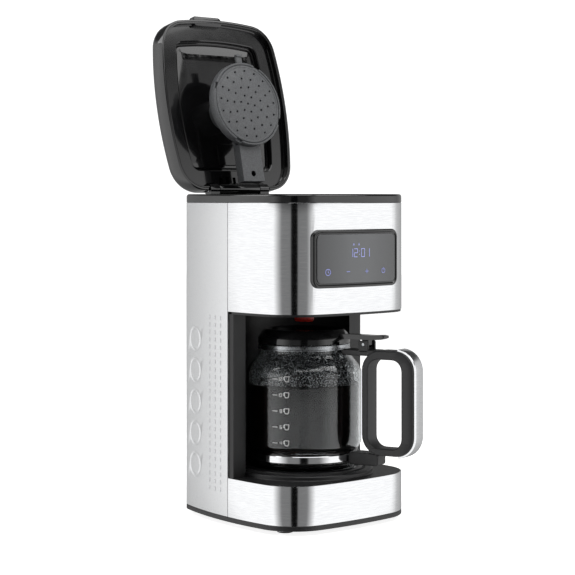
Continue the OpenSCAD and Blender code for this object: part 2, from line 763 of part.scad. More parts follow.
module spray_head() color("#5a5b5d") machine() opened() difference() {
    union() {
        post(0, spray_y, spray_r + 3, spray_face, spray_top);
        block([-4.5, spray_y - spray_r - 14, spray_face + 5], [4.5, spray_y - spray_r, spray_face + 8]);
    }
    post(0, spray_y, spray_r + 0.6, spray_face - over, spray_face + spray_t + 2.2);
    post(0, spray_y, spray_r - 4, spray_face + 4, spray_top - 3);
    post(0, spray_y, 8, spray_top - 5, spray_top + over);
    for (a = notch_turns) translate([0, spray_y, spray_face]) rotate([0, 0, a]) {
        translate([0, 0, -over]) rotate_extrude(angle = 11) square([spray_r + 4, spray_t + over]);
        translate([0, 0, 0.8]) rotate_extrude(angle = 11 + bayonet_turn)
            square([spray_r + 1.6, spray_t - 0.6]);
    }
}

spray_rings = [[1, 0], [6, 10], [11, 20], [14, 30], [17, 39]];

module spray_cover() color("#6b6c6e") machine() opened() difference() {
    union() {
        post(0, spray_y, spray_r, spray_face, spray_face + spray_t);
        for (a = notch_turns) translate([0, spray_y, spray_face + 1]) rotate([0, 0, a + 1 + bayonet_turn])
            rotate_extrude(angle = 9) translate([spray_r - 2, 0]) square([3.2, spray_t - 1]);
    }
    for (ring = spray_rings) for (i = [0:ring[0] - 1]) {
        a = 360 * i / ring[0] + ring[1];
        post(ring[1] * cos(a), spray_y + ring[1] * sin(a), hole_r, spray_face - over,
            spray_face + spray_t + over);
    }
}

// --- basket ---------------------------------------------------------------------------------------

module filter_basket() color("#202021") machine() difference() {
    union() {
        translate([0, chamber_y, 0]) rotate_extrude()
            polygon([[0, basket_floor], [basket_foot_r, basket_floor], [basket_r, basket_rim - 1.6],
                [basket_r + 3, basket_rim - 1.6], [basket_r + 3, basket_rim], [basket_r - 2, basket_rim],
                [basket_foot_r - 2, basket_floor + 2], [0, basket_floor + 2]]);
        post(0, jug_y, nozzle_r + 2.4, floor_z + 1, basket_floor + over);
    }
    post(0, jug_y, nozzle_r + 0.4, floor_z, basket_floor);
    post(0, jug_y, 6, basket_floor - over, basket_floor + 3);
}

spring_r = 7.5;
spring_wire = 0.6;
spring_turns = 5;
spring_low = nozzle_z + 11;

module drip_stop_nozzle() color("#b3261e") machine() {
    post(0, jug_y, 3, nozzle_z + 4, basket_floor + 3);
    post(0, jug_y, 8, basket_floor + 2, basket_floor + 4.2);
    difference() {
        union() {
            translate([0, jug_y, nozzle_z]) cylinder(r1 = nozzle_r - 1.6, r2 = nozzle_r, h = 2.5);
            post(0, jug_y, nozzle_r, nozzle_z + 2.4, spring_low);
        }
        for (a = [0:60:300]) post(6 * cos(a), jug_y + 6 * sin(a), 1.6, nozzle_z - over, spring_low + over);
    }
}

// A coil spring: a ring of points swept up a helix
function coil_point(turn, a, r, wire, h) = let (b = 360 * turn, rr = r + wire * cos(a))
    [rr * cos(b), rr * sin(b), h * turn / spring_turns + wire * sin(a)];

module drip_stop_spring() color("#b9bcc0") machine() translate([0, jug_y, spring_low + spring_wire]) {
    sides = 8;
    steps = 12 * spring_turns;
    h = basket_floor - spring_low - 2 * spring_wire;
    points = [for (i = [0:steps]) for (j = [0:sides - 1])
        coil_point(i / 12, 360 * j / sides, spring_r, spring_wire, h)];
    faces = concat(
        [[for (j = [0:sides - 1]) j]],
        [for (i = [0:steps - 1]) for (j = [0:sides - 1])
            [i * sides + j, (i + 1) * sides + j, (i + 1) * sides + (j + 1) % sides,
                i * sides + (j + 1) % sides]],
        [[for (j = [sides - 1:-1:0]) steps * sides + j]]);
    polyhedron(points, faces);
}

// --- jug ------------------------------------------------------------------------------------------

strap_low = jug_z + 8.4;
strap_high = jug_z + 16;
shoulder_z = jug_z + 102;

// A quarter wave from one radius and height to another
function sweep(r0, z0, r1, z1) = [for (i = [0:10]) let (t = i / 10)
    [r0 + (r1 - r0) * (1 - cos(180 * t)) / 2, z0 + (z1 - z0) * t]];

// Half section of the jug's outside, pulled in by e
function jug_side(e) = concat(
    [for (a = [0:15:90]) [jug_r - 12 - e + (7.6) * sin(a), jug_z + e + 7.6 * (1 - cos(a))]],
    sweep(jug_r - 4.2 - e, jug_z + 16.5, jug_r - e, jug_z + 27),
    sweep(jug_r - e, shoulder_z, neck_r - e, neck_z - 6),
    [[neck_r - e, neck_z]]);

module jug_glass() color("#c4ccd0", 0.35) machine() jug() difference() {
    rotate_extrude() polygon(concat([[0, jug_z]], jug_side(0), [[0, neck_z]]));
    rotate_extrude() polygon(concat([[0, jug_z + glass_t]], jug_side(glass_t),
        [[neck_r - glass_t, neck_z + over], [0, neck_z + over]]));
}

module coffee() color("#1a0d06") machine() jug() intersection() {
    rotate_extrude() polygon(concat([[0, jug_z + glass_t + 0.1]], jug_side(glass_t + 0.1), [[0, neck_z]]));
    post(0, 0, jug_r, jug_z, jug_z + coffee_h);
}

module jug_strap() color("#d6d8da") machine() jug() difference() {
    post(0, 0, jug_r - 2.9, strap_low, strap_high);
    post(0, 0, jug_r - 4.2 + 0.1, strap_low - over, strap_high + over);
}

module neck_ring() color("#9fa2a5") machine() jug() difference() {
    post(0, 0, neck_r + 1.3, neck_z - 5.6, neck_z);
    post(0, 0, neck_r + 0.1, neck_z - 7, neck_z + over);
}

handle_low = jug_z + 5.3;
handle_high = neck_z + 2.3;
hole_low = jug_z + 25;
hole_high = neck_z - 13.5;

// A rounded plate standing in the handle's plane, rho outwards and z up
module handle_plate(rho0, rho1, low, high, r, w) translate([-w / 2, -(rho0 + rho1) / 2, (low + high) / 2])
    rotate([90, 0, 90]) linear_extrude(w) polygon(rounded_rect(rho1 - rho0, high - low, r));

module jug_handle() color("#121213") machine() jug() difference() {
    union() {
        handle_plate(post_in, handle_reach - 2.2, handle_low + 12, handle_high - 6, 22, handle_w);
        handle_plate(neck_r + 1.8, post_out + 12, neck_z - 10.5, handle_high - 6, 3, handle_w - 4);
        handle_plate(jug_r - 2.7, post_out + 12, handle_low, hole_low - 6, 3, handle_w - 4);
        for (side = [-1, 1]) translate([side * 8, 0, 0])
            handle_plate(pin_rho - 6, pin_rho + 6, handle_high - 9, lid_pin_z + 4, 2.5, 3);
    }
    handle_plate(post_out, grip_in, hole_low, hole_high, 12, handle_w + 4);
    along_x(-pin_rho, lid_pin_z, jug_pin_r, -handle_w, handle_w);
    strap_screw(4);
}

module handle_cap() color("#d6d8da") machine() jug() difference() {
    handle_plate(post_in, handle_reach, handle_low + 9.8, handle_high - 3.8, 24, handle_w - 5);
    handle_plate(post_in - 4, handle_reach - 2.1, handle_low + 11.9, handle_high - 5.9, 22.1, handle_w + 4);
    block([-body_w, -handle_reach + 22, 0], [body_w, body_w, body_h]);
}

module strap_screw(l) translate([0, -jug_r + 2.9, (strap_low + strap_high) / 2]) rotate([90, 0, 0])
    cylinder(r = 1.4, h = l);

module handle_screw() color("#b9bcc0") machine() jug() strap_screw(4);

lid_low = neck_z + 0.4;
jug_lid_h = 16;

module jug_lid() color("#121213") machine() jug() difference() {
    union() {
        post(0, 0, neck_r + 1, lid_low, lid_low + jug_lid_h);
        post(0, 0, neck_r - glass_t - 0.6, lid_low - 5, lid_low + over);
        block([-7, -pin_rho - 24, lid_low + 6], [7, -neck_r + 6, lid_low + 12]);
        block([-5, -pin_rho - 4.5, lid_pin_z - 4], [5, -pin_rho + 4.5, lid_low + 7]);
    }
    post(0, 0, neck_r - 14, lid_low + jug_lid_h / 2, lid_low + jug_lid_h + over);
    post(0, 0, neck_r - glass_t - 3, lid_low - 6, lid_low + jug_lid_h / 2 - wall_t);
    post(0, 0, 3, lid_low - 10, lid_low + jug_lid_h);
    along_x(-pin_rho, lid_pin_z, jug_pin_r + 0.05, -handle_w, handle_w);
}

module jug_lid_pin() color("#b9bcc0") machine() jug()
    along_x(-pin_rho, lid_pin_z, jug_pin_r, -handle_w / 2 + 2, handle_w / 2 - 2);

// --- nodes ----------------------------------------------------------------------------------------

base_tray();
bottom_cover();
cover_screws();
feet();
base_band();
rear_skin();
head_band();
top_rim();
tower_wall();
head_floor();
brew_chamber();
water_tank();
hot_plate();
plate_seal();
heater_tube();
heater_clamp();
thermostat();
thermal_fuses();
feed_hose();
check_valve();
inlet_hose();
riser_hose();
hose_clips();
water_spigot();
power_board();
cord_gland();
control_bezel();
display_window();
control_board();
display_module();
hinge_bracket();
hinge_pin();
lid_shell();
lid_liner();
lid_screws();
spray_arm();
spray_head();
spray_cover();
filter_basket();
drip_stop_nozzle();
drip_stop_spring();
jug_glass();
coffee();
jug_strap();
neck_ring();
jug_handle();
handle_cap();
handle_screw();
jug_lid();
jug_lid_pin();
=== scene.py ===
import json
import math
import random
from contextlib import contextmanager

import bmesh
import bpy
from mathutils import Matrix, Vector


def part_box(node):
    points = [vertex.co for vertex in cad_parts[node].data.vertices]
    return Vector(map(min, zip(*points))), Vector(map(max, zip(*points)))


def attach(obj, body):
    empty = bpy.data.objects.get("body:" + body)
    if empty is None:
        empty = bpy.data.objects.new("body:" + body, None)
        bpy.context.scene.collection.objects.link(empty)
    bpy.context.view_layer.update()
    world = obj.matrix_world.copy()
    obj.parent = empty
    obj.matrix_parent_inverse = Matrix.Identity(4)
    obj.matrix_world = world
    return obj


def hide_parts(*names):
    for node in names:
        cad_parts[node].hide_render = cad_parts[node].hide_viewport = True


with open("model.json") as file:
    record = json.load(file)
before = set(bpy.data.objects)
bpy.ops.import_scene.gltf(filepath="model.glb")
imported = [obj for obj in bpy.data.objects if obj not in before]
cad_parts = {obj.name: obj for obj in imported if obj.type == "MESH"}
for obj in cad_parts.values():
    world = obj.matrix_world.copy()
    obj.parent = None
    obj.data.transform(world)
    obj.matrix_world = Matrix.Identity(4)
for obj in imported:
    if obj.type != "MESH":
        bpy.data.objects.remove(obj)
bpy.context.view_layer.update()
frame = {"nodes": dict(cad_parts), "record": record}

MM = 0.001

# ---------------------------------------------------------------------------------------------------
# Places and sizes, in millimetres, read from the frame
# ---------------------------------------------------------------------------------------------------


def span(node):
    """Lowest and highest corner of a CAD node, in millimetres."""
    low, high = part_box(node)
    return low / MM, high / MM


TRAY_LOW, TRAY_HIGH = span("base_tray")
BAND_LOW, BAND_HIGH = span("base_band")
HEAD_LOW, HEAD_HIGH = span("head_band")
SKIN_LOW, SKIN_HIGH = span("rear_skin")
RIM_HIGH = span("top_rim")[1]
BEZEL_LOW, BEZEL_HIGH = span("control_bezel")
PLATE_LOW, PLATE_HIGH = span("hot_plate")
GLASS_LOW, GLASS_HIGH = span("jug_glass")
COFFEE_HIGH = span("coffee")[1]
STRAP_LOW, STRAP_HIGH = span("jug_strap")
RING_LOW, RING_HIGH = span("neck_ring")
NOZZLE_LOW = span("drip_stop_nozzle")[0]
PIN_LOW, PIN_HIGH = span("jug_lid_pin")

BODY_W = TRAY_HIGH.x - TRAY_LOW.x
BODY_D = TRAY_HIGH.y - TRAY_LOW.y
MID_Y = (TRAY_HIGH.y + TRAY_LOW.y) / 2
FRONT_BOW, SIDE_BOW = 470, 415
FRONT_CORNER, REAR_CORNER = 48, 18
SIDE_MID = -24
SEAM = BAND_HIGH.y - MID_Y
RIM_TOP = RIM_HIGH.z
BAND_TOP = HEAD_HIGH.z
SKIN_T = 1.2

LID_W, LID_D, LID_BOW, LID_CORNER = BODY_W - 13, BODY_D - 3, 437, 35
LID_Z, LID_H, LID_T = RIM_TOP + 0.5, 24.3, 2.4
HINGE = Vector((0, BODY_D / 2 - 3.1, RIM_TOP + 5.5))
LID_ANGLE = 102.3
LID_MID = HINGE.y + 1.6 - LID_D / 2
LINER_Z = LID_Z + 14
SPRAY_Y, SPRAY_R = 8.3, 46
SPRAY_FACE = RIM_TOP - 35

JUG = Vector(((GLASS_LOW.x + GLASS_HIGH.x) / 2, (GLASS_LOW.y + GLASS_HIGH.y) / 2, GLASS_LOW.z))
JUG_R = (GLASS_HIGH.x - GLASS_LOW.x) / 2
NECK_R = (RING_HIGH.x - RING_LOW.x) / 2 - 1.3
NECK_Z = GLASS_HIGH.z
HANDLE_TURN = 18
PIN_RHO = math.hypot((PIN_LOW.x + PIN_HIGH.x) / 2 - JUG.x, (PIN_LOW.y + PIN_HIGH.y) / 2 - JUG.y)
PIN_Z = (PIN_LOW.z + PIN_HIGH.z) / 2
PANEL_X = (BEZEL_LOW.x + BEZEL_HIGH.x) / 2
PANEL_Z = (BEZEL_LOW.z + BEZEL_HIGH.z) / 2

# ---------------------------------------------------------------------------------------------------
# Outlines
# ---------------------------------------------------------------------------------------------------


def arc(centre, r, a0, a1, steps):
    """Points along an arc, angles in radians."""
    return [(centre[0] + r * math.cos(a0 + (a1 - a0) * i / steps),
             centre[1] + r * math.sin(a0 + (a1 - a0) * i / steps)) for i in range(steps + 1)]


def bowed(w, d, bow_f, bow_s, corner_f, corner_r, mid, e, steps=14):
    """A bowed front and sides, round front corners and a flat rear, pulled in by e all round."""
    f = Vector((0, -d / 2 + bow_f))
    s = Vector((w / 2 - bow_s, mid))
    rf, rs = bow_f - corner_f, bow_s - corner_f
    gap = s - f
    along = (rf * rf - rs * rs + gap.length_squared) / (2 * gap.length)
    up = math.sqrt(rf * rf - along * along)
    u = gap.normalized()
    c = f + along * u + up * Vector((-u.y, u.x))
    if c.x < 0 or c.y > 0:
        c = f + along * u - up * Vector((-u.y, u.x))
    turn_f = math.atan2(c.y - f.y, c.x - f.x)
    turn_s = math.atan2(c.y - s.y, c.x - s.x)
    rise = math.asin((d / 2 - corner_r - mid) / (bow_s - corner_r))
    r = s + (bow_s - corner_r) * Vector((math.cos(rise), math.sin(rise)))
    half = (arc(f, bow_f - e, -math.pi / 2, turn_f, steps)[:-1]
            + arc(c, corner_f - e, turn_f, turn_s, steps)[:-1]
            + arc(s, bow_s - e, turn_s, rise, steps)[:-1]
            + arc(r, max(corner_r - e, 0.5), rise, math.pi / 2, steps))
    return half + [(-x, y) for x, y in reversed(half[1:])]


def body_ring(e, z):
    """One closed ring of the body's outline at a height."""
    return [(x, y + MID_Y, z) for x, y in
            bowed(BODY_W, BODY_D, FRONT_BOW, SIDE_BOW, FRONT_CORNER, REAR_CORNER, SIDE_MID, e)]


def side_x(y):
    return BODY_W / 2 - SIDE_BOW + math.sqrt(SIDE_BOW ** 2 - (y - SIDE_MID) ** 2)


def lid_ring(e, z):
    """One closed ring of the lid's outline, drawn on the closed lid."""
    return [(x, y + LID_MID, z) for x, y in
            bowed(LID_W, LID_D, LID_BOW, LID_BOW, LID_CORNER, LID_CORNER, 0, e)]


def circle_ring(x, y, r, z, steps=96):
    return [(x + r * math.cos(2 * math.pi * i / steps), y + r * math.sin(2 * math.pi * i / steps), z)
            for i in range(steps)]


def rounded_rect(w, h, r, steps=8):
    q = math.pi / 2
    return (arc((w / 2 - r, -h / 2 + r), r, -q, 0, steps) + arc((w / 2 - r, h / 2 - r), r, 0, q, steps)
            + arc((-w / 2 + r, h / 2 - r), r, q, 2 * q, steps)
            + arc((-w / 2 + r, -h / 2 + r), r, 2 * q, 3 * q, steps))


def opened(p):
    """A place on the closed lid, carried to where the open lid holds it."""
    a = math.radians(-LID_ANGLE)
    y, z = p[1] - HINGE.y, p[2] - HINGE.z
    return Vector((p[0], HINGE.y + MID_Y + y * math.cos(a) - z * math.sin(a),
                   HINGE.z + y * math.sin(a) + z * math.cos(a)))


def in_jug(x, rho, z):
    """A place in the handle's plane: x across it, rho outwards from the jug's axis."""
    a = math.radians(HANDLE_TURN)
    return Vector((JUG.x + x * math.cos(a) + rho * math.sin(a),
                   JUG.y + x * math.sin(a) - rho * math.cos(a), z))


# ---------------------------------------------------------------------------------------------------
# Modelling
# ---------------------------------------------------------------------------------------------------


def start():
    if bpy.context.object and bpy.context.object.mode != "OBJECT":
        bpy.ops.object.mode_set(mode="OBJECT")
    bpy.ops.object.select_all(action="DESELECT")


@contextmanager
def editing(obj):
    """Edit mode on one piece with all of it selected."""
    start()
    obj.select_set(True)
    bpy.context.view_layer.objects.active = obj
    bpy.ops.object.mode_set(mode="EDIT")
    bpy.ops.mesh.select_all(action="SELECT")
    yield
    bpy.ops.object.mode_set(mode="OBJECT")


def named(name):
    obj = bpy.context.object
    obj.name = name
    obj.data.name = name
    return obj


def sweep(name, rings, closed=False, low_cap=True, high_cap=True):
    """A circle that is shaped to the first ring and extruded from ring to ring; closed joins the ends."""
    start()
    count = len(rings[0])
    bpy.ops.mesh.primitive_circle_add(vertices=count, radius=1)
    obj = named(name)
    bpy.ops.object.mode_set(mode="EDIT")
    bm = bmesh.from_edit_mesh(obj.data)
    turn = bm.verts.layers.int.new("turn")
    level = bm.verts.layers.int.new("level")
    bm.verts.ensure_lookup_table()
    for i, v in enumerate(bm.verts):
        v[turn] = i
        v.co = Vector(rings[0][i]) * MM
    bmesh.update_edit_mesh(obj.data)
    for number, ring in enumerate(rings[1:], 1):
        bpy.ops.mesh.extrude_region_move()
        bm = bmesh.from_edit_mesh(obj.data)
        turn = bm.verts.layers.int["turn"]
        level = bm.verts.layers.int["level"]
        for v in bm.verts:
            if v.select:
                v.co = Vector(ring[v[turn]]) * MM
                v[level] = number
        bmesh.update_edit_mesh(obj.data)
    ends = {0, len(rings) - 1}

    def pick(levels):
        bpy.ops.mesh.select_all(action="DESELECT")
        bm = bmesh.from_edit_mesh(obj.data)
        level = bm.verts.layers.int["level"]
        for edge in bm.edges:
            edge.select_set(edge.verts[0][level] == edge.verts[1][level] and edge.verts[0][level] in levels)
        bmesh.update_edit_mesh(obj.data)

    bpy.ops.mesh.select_mode(type="EDGE")
    if closed:
        pick(ends)
        bpy.ops.mesh.bridge_edge_loops()
    else:
        for wanted, number in ((low_cap, 0), (high_cap, len(rings) - 1)):
            if wanted:
                pick({number})
                bpy.ops.mesh.edge_face_add()
    bpy.ops.mesh.select_all(action="SELECT")
    bpy.ops.mesh.normals_make_consistent(inside=False)
    bpy.ops.object.mode_set(mode="OBJECT")
    return obj


def lathe(name, x, y, profile, steps=96, closed=False):
    """Rings about an upright axis; a profile that starts or ends near the axis gets a cap there."""
    return sweep(name, [circle_ring(x, y, r, z, steps) for r, z in profile], closed)


def move_all(obj, place):
    """Carry every point of a piece through a function of millimetres."""
    for v in obj.data.vertices:
        v.co = Vector(place(v.co / MM)) * MM
    obj.data.update()
    return obj


def block(name, low, high, bevel=0.6, segments=3):
    """A box at its size and place with rounded edges."""
    start()
    low, high = Vector(low), Vector(high)
    bpy.ops.mesh.primitive_cube_add(size=1)
    obj = named(name)
    obj.data.transform(Matrix.Diagonal((high - low).to_4d()))
    obj.data.transform(Matrix.Translation((high + low) / 2))
    obj.data.transform(Matrix.Scale(MM, 4))
    bpy.ops.object.mode_set(mode="EDIT")
    bpy.ops.mesh.select_all(action="SELECT")
    bpy.ops.mesh.bevel(offset=bevel * MM, segments=segments, affect="EDGES")
    bpy.ops.object.mode_set(mode="OBJECT")
    return obj


def rod(name, a, b, r, steps=24, bevel=0.4):
    """A round rod between two places with broken edges."""
    start()
    a, b = Vector(a), Vector(b)
    bpy.ops.mesh.primitive_cylinder_add(vertices=steps, radius=r * MM, depth=(b - a).length * MM)
    obj = named(name)
    bpy.ops.object.mode_set(mode="EDIT")
    bpy.ops.mesh.select_all(action="DESELECT")
    bm = bmesh.from_edit_mesh(obj.data)
    for edge in bm.edges:
        edge.select_set(abs(edge.verts[0].co.z - edge.verts[1].co.z) < 1e-7)
    bmesh.update_edit_mesh(obj.data)
    bpy.ops.mesh.bevel(offset=bevel * MM, segments=2, affect="EDGES")
    bpy.ops.object.mode_set(mode="OBJECT")
    turn = (b - a).to_track_quat("Z", "Y").to_matrix().to_4x4()
    obj.data.transform(Matrix.Translation((a + b) / 2 * MM) @ turn)
    return obj


def cut(obj, low_y=None, high_y=None):
    """Slice a piece across its depth and keep what lies between the two places."""
    for y, keep_above in ((low_y, True), (high_y, False)):
        if y is None:
            continue
        with editing(obj):
            bpy.ops.mesh.bisect(plane_co=(0, y * MM, 0), plane_no=(0, 1, 0), use_fill=True,
                                clear_inner=keep_above, clear_outer=not keep_above)
    return obj


def join(name, parts):
    start()
    for part in parts:
        part.select_set(True)
    bpy.context.view_layer.objects.active = parts[0]
    bpy.ops.object.join()
    return named(name)


def carve(obj, *cutters):
    """Cut shapes out of a piece; the cutters are used up."""
    for cutter in cutters:
        start()
        bpy.context.view_layer.objects.active = obj
        tool = obj.modifiers.new("carve", "BOOLEAN")
        tool.operation = "DIFFERENCE"
        tool.solver = "EXACT"
        tool.object = cutter
        bpy.ops.object.modifier_apply(modifier=tool.name)
        bpy.data.objects.remove(cutter)
    return obj


def smooth(obj, angle=32):
    start()
    obj.select_set(True)
    bpy.context.view_layer.objects.active = obj
    bpy.ops.object.shade_smooth_by_angle(angle=math.radians(angle))
    return obj


def finish_piece(obj, material, body, slot, *nodes, angle=32):
    """Smooth a piece, give it its finish, tie it to its body and hide its CAD nodes; the slot is not used."""
    smooth(obj, angle)
    obj.data.materials.clear()
    obj.data.materials.append(material)
    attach(obj, body)
    if nodes:
        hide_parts(*nodes)
    return obj


# ---------------------------------------------------------------------------------------------------
# Materials
# ---------------------------------------------------------------------------------------------------


def hexa(code, alpha=1.0):
    """An sRGB hex value as linear colour."""
    parts = [int(code[i:i + 2], 16) / 255 for i in (1, 3, 5)]
    return tuple(c / 12.92 if c <= 0.04045 else ((c + 0.055) / 1.055) ** 2.4 for c in parts) + (alpha,)


def add(tree, kind, links=None, **settings):
    """Add a node, set its fields and inputs, and link inputs named in links."""
    node = tree.nodes.new(kind)
    for key, value in settings.items():
        if hasattr(node, key):
            setattr(node, key, value)
        else:
            node.inputs[key.replace("_", " ")].default_value = value
    for key, source in (links or {}).items():
        tree.links.new(source, node.inputs[key])
    return node


def finish(name, colour, metallic=0.0, rough=0.4, **sockets):
    """A material with its shader and object coordinates."""
    mat = bpy.data.materials.new(name)
    mat.use_nodes = True
    tree = mat.node_tree
    shader = tree.nodes["Principled BSDF"]
    shader.inputs["Base Color"].default_value = hexa(colour)
    shader.inputs["Metallic"].default_value = metallic
    shader.inputs["Roughness"].default_value = rough
    for key, value in sockets.items():
        shader.inputs[key.replace("_", " ")].default_value = value
    where = add(tree, "ShaderNodeTexCoord").outputs["Object"]
    return mat, tree, shader, where


def grain(tree, shader, where, scale, rough_low, rough_high, bump=0.0, stretch=(1, 1, 1), tone=None, detail=4.0):
    """Noise of a real size that varies the roughness, the height and, if asked, the tone."""
    mapping = add(tree, "ShaderNodeMapping", {"Vector": where}, Scale=stretch)
    noise = add(tree, "ShaderNodeTexNoise", {"Vector": mapping.outputs[0]}, Scale=scale, Detail=detail)
    spread = add(tree, "ShaderNodeMapRange", {"Value": noise.outputs["Fac"]},
                 From_Min=0.3, From_Max=0.7, To_Min=rough_low, To_Max=rough_high)
    tree.links.new(spread.outputs["Result"], shader.inputs["Roughness"])
    if bump:
        lump = add(tree, "ShaderNodeBump", {"Height": noise.outputs["Fac"]}, Strength=bump, Distance=0.0002)
        tree.links.new(lump.outputs[0], shader.inputs["Normal"])
    if tone:
        mix = add(tree, "ShaderNodeValToRGB", {"Fac": noise.outputs["Fac"]})
        mix.color_ramp.elements[0].position = 0.35
        mix.color_ramp.elements[1].position = 0.65
        mix.color_ramp.elements[0].color = hexa(tone[0])
        mix.color_ramp.elements[1].color = hexa(tone[1])
        tree.links.new(mix.outputs[0], shader.inputs["Base Color"])
    return noise


def grained(name, colour, scale, rough, bump, tone, stretch=(1, 1, 1), detail=4.0, **sockets):
    """A finish that is only a colour and a grain."""
    mat, tree, shader, where = finish(name, colour, **sockets)
    grain(tree, shader, where, scale, *rough, bump, stretch, tone, detail)
    return mat


def gloss_black(name="gloss_black_abs", colour="#0d0d0e"):
    # ABS moulded against a polished tool: deep black, mirror-like gloss with slight flow ripples
    return grained(name, colour, 40, (0.07, 0.13), 0.03, (colour, "#121213"), IOR=1.53, Coat_Weight=0.4)


def satin_black(name="satin_black_pp", colour="#1c1c1d", tone="#252526"):
    # Polypropylene from a spark-eroded tool: dark grey-black with a fine sandy texture
    return grained(name, colour, 900, (0.34, 0.5), 0.18, (colour, tone), IOR=1.49)


def smoked_window():
    # Cast acrylic with a smoke tint over a dark backing: grey and glossy, with painted shade that darkens its colour
    # towards its ends
    mat, tree, shader, where = finish("smoked_acrylic", "#6d6f71", IOR=1.49, Coat_Weight=0.6)
    split = add(tree, "ShaderNodeSeparateXYZ", {"Vector": where})
    half = (BEZEL_HIGH.x - BEZEL_LOW.x) / 2 * MM
    centred = add(tree, "ShaderNodeMath", {0: split.outputs["X"]}, operation="SUBTRACT")
    centred.inputs[1].default_value = PANEL_X * MM
    size = add(tree, "ShaderNodeMath", {0: centred.outputs[0]}, operation="ABSOLUTE")
    share = add(tree, "ShaderNodeMath", {0: size.outputs[0]}, operation="DIVIDE")
    share.inputs[1].default_value = half
    # painted shade: the base colour darkens from the middle of the window towards both ends
    ramp = add(tree, "ShaderNodeValToRGB", {"Fac": share.outputs[0]})
    ramp.color_ramp.elements[0].position = 0.2
    ramp.color_ramp.elements[0].color = hexa("#5e6062")
    ramp.color_ramp.elements[1].position = 0.95
    ramp.color_ramp.elements[1].color = hexa("#3a3b3d")
    tree.links.new(ramp.outputs[0], shader.inputs["Base Color"])
    fine = add(tree, "ShaderNodeTexNoise", {"Vector": where}, Scale=60.0, Detail=3.0)
    spread = add(tree, "ShaderNodeMapRange", {"Value": fine.outputs["Fac"]}, To_Min=0.1, To_Max=0.2)
    tree.links.new(spread.outputs["Result"], shader.inputs["Roughness"])
    return mat


def lit(name, colour, strength):
    # Printed sign lit from behind by small lamps: coloured glow with a soft uneven spread
    mat, tree, shader, where = finish(name, colour, rough=0.4, Emission_Strength=strength)
    noise = add(tree, "ShaderNodeTexNoise", {"Vector": where}, Scale=220.0)
    ramp = add(tree, "ShaderNodeValToRGB", {"Fac": noise.outputs["Fac"]})
    ramp.color_ramp.elements[0].color = hexa(colour)
    ramp.color_ramp.elements[1].color = hexa("#b9bdf0")
    ramp.color_ramp.elements[1].position = 0.9
    tree.links.new(ramp.outputs[0], shader.inputs["Emission Color"])
    return mat


def clear_glass():
    # Blown borosilicate: clear with a faint cool cast and slight waviness
    mat, tree, shader, where = finish("borosilicate_glass", "#f4f7f8", rough=0.0, IOR=1.47,
                                      Transmission_Weight=1.0)
    noise = add(tree, "ShaderNodeTexNoise", {"Vector": where}, Scale=25.0, Detail=2.0)
    lump = add(tree, "ShaderNodeBump", {"Height": noise.outputs["Fac"]}, Strength=0.05, Distance=0.0004)
    tree.links.new(lump.outputs[0], shader.inputs["Normal"])
    return mat


def mist():
    # Condensed steam on the glass: fine pale beads with clear gaps between them
    mat, tree, shader, where = finish("condensation", "#e4e6e8", rough=0.25, IOR=1.33)
    beads = add(tree, "ShaderNodeTexVoronoi", {"Vector": where}, Scale=620.0)
    patches = add(tree, "ShaderNodeTexNoise", {"Vector": where}, Scale=70.0, Detail=3.0)
    near = add(tree, "ShaderNodeMapRange", {"Value": beads.outputs["Distance"]},
               From_Min=0.15, From_Max=0.5, To_Min=0.85, To_Max=0.0)
    far = add(tree, "ShaderNodeMapRange", {"Value": patches.outputs["Fac"]},
              From_Min=0.35, From_Max=0.65, To_Min=0.55, To_Max=1.0)
    both = add(tree, "ShaderNodeMath", {0: near.outputs[0], 1: far.outputs[0]}, operation="MULTIPLY")
    tree.links.new(both.outputs[0], shader.inputs["Alpha"])
    return mat


# Stainless sheet, polished and then brushed very finely along its length: a near mirror with soft streaks
STEEL = grained("polished_stainless", "#e6e7e8", 90, (0.07, 0.15), 0.02, ("#dfe0e2", "#ecedee"),
                stretch=(1, 1, 22), metallic=1.0)
# Moulded skin in metallic lacquer: bright grey with fine flakes and a broad soft highlight
SILVER = grained("silver_lacquer", "#e4e5e6", 2600, (0.26, 0.36), 0.02, ("#dcddde", "#ecedee"), detail=2.0,
                 metallic=0.75, Coat_Weight=0.25)
GLOSS, SATIN = gloss_black(), satin_black()
# Glass-filled nylon, moulded: mid grey with a dry matt bloom
GREY = grained("grey_nylon", "#5d5e60", 700, (0.36, 0.52), 0.12, ("#535456", "#686a6c"), IOR=1.53)
# Steel sheet with a baked non-stick coat: warm black with a fine orange peel
COAT = grained("non_stick_coat", "#151516", 1400, (0.28, 0.42), 0.15, ("#131314", "#1d1d1e"), IOR=1.38,
               Coat_Weight=0.15)
# Natural rubber: flat dark grey with a dusty surface
RUBBER = grained("foot_rubber", "#222223", 800, (0.62, 0.8), 0.2, ("#1d1d1e", "#2b2b2c"), IOR=1.52)
# Extruded silicone hose: milky, slightly translucent white
HOSE = grained("milky_silicone", "#dedbd2", 300, (0.32, 0.45), 0.05, ("#d5d2c8", "#e6e3dc"), IOR=1.41,
               Subsurface_Weight=0.3)
# Zinc-plated steel: cool grey with faint crystal patches
ZINC = grained("zinc_plated_steel", "#b4b7ba", 500, (0.22, 0.36), 0.04, ("#a5a8ab", "#c6c9cc"), metallic=1.0)
# Extruded aluminium tube: soft grey with drawn lines
ALLOY = grained("drawn_aluminium", "#b2b5b8", 400, (0.28, 0.42), 0.06, ("#a6a9ac", "#bfc2c4"), metallic=1.0)
# Fired steatite: creamy, dry ceramic
CERAMIC = grained("steatite", "#d3cdbf", 900, (0.5, 0.68), 0.1, ("#c8c1b2", "#ded9cd"), IOR=1.6)
# Glass-epoxy board under green solder mask, with faint copper tracks showing through
BOARD = grained("solder_mask", "#1d5a34", 260, (0.25, 0.4), 0.05, ("#184d2c", "#26703f"), detail=1.0, IOR=1.5)
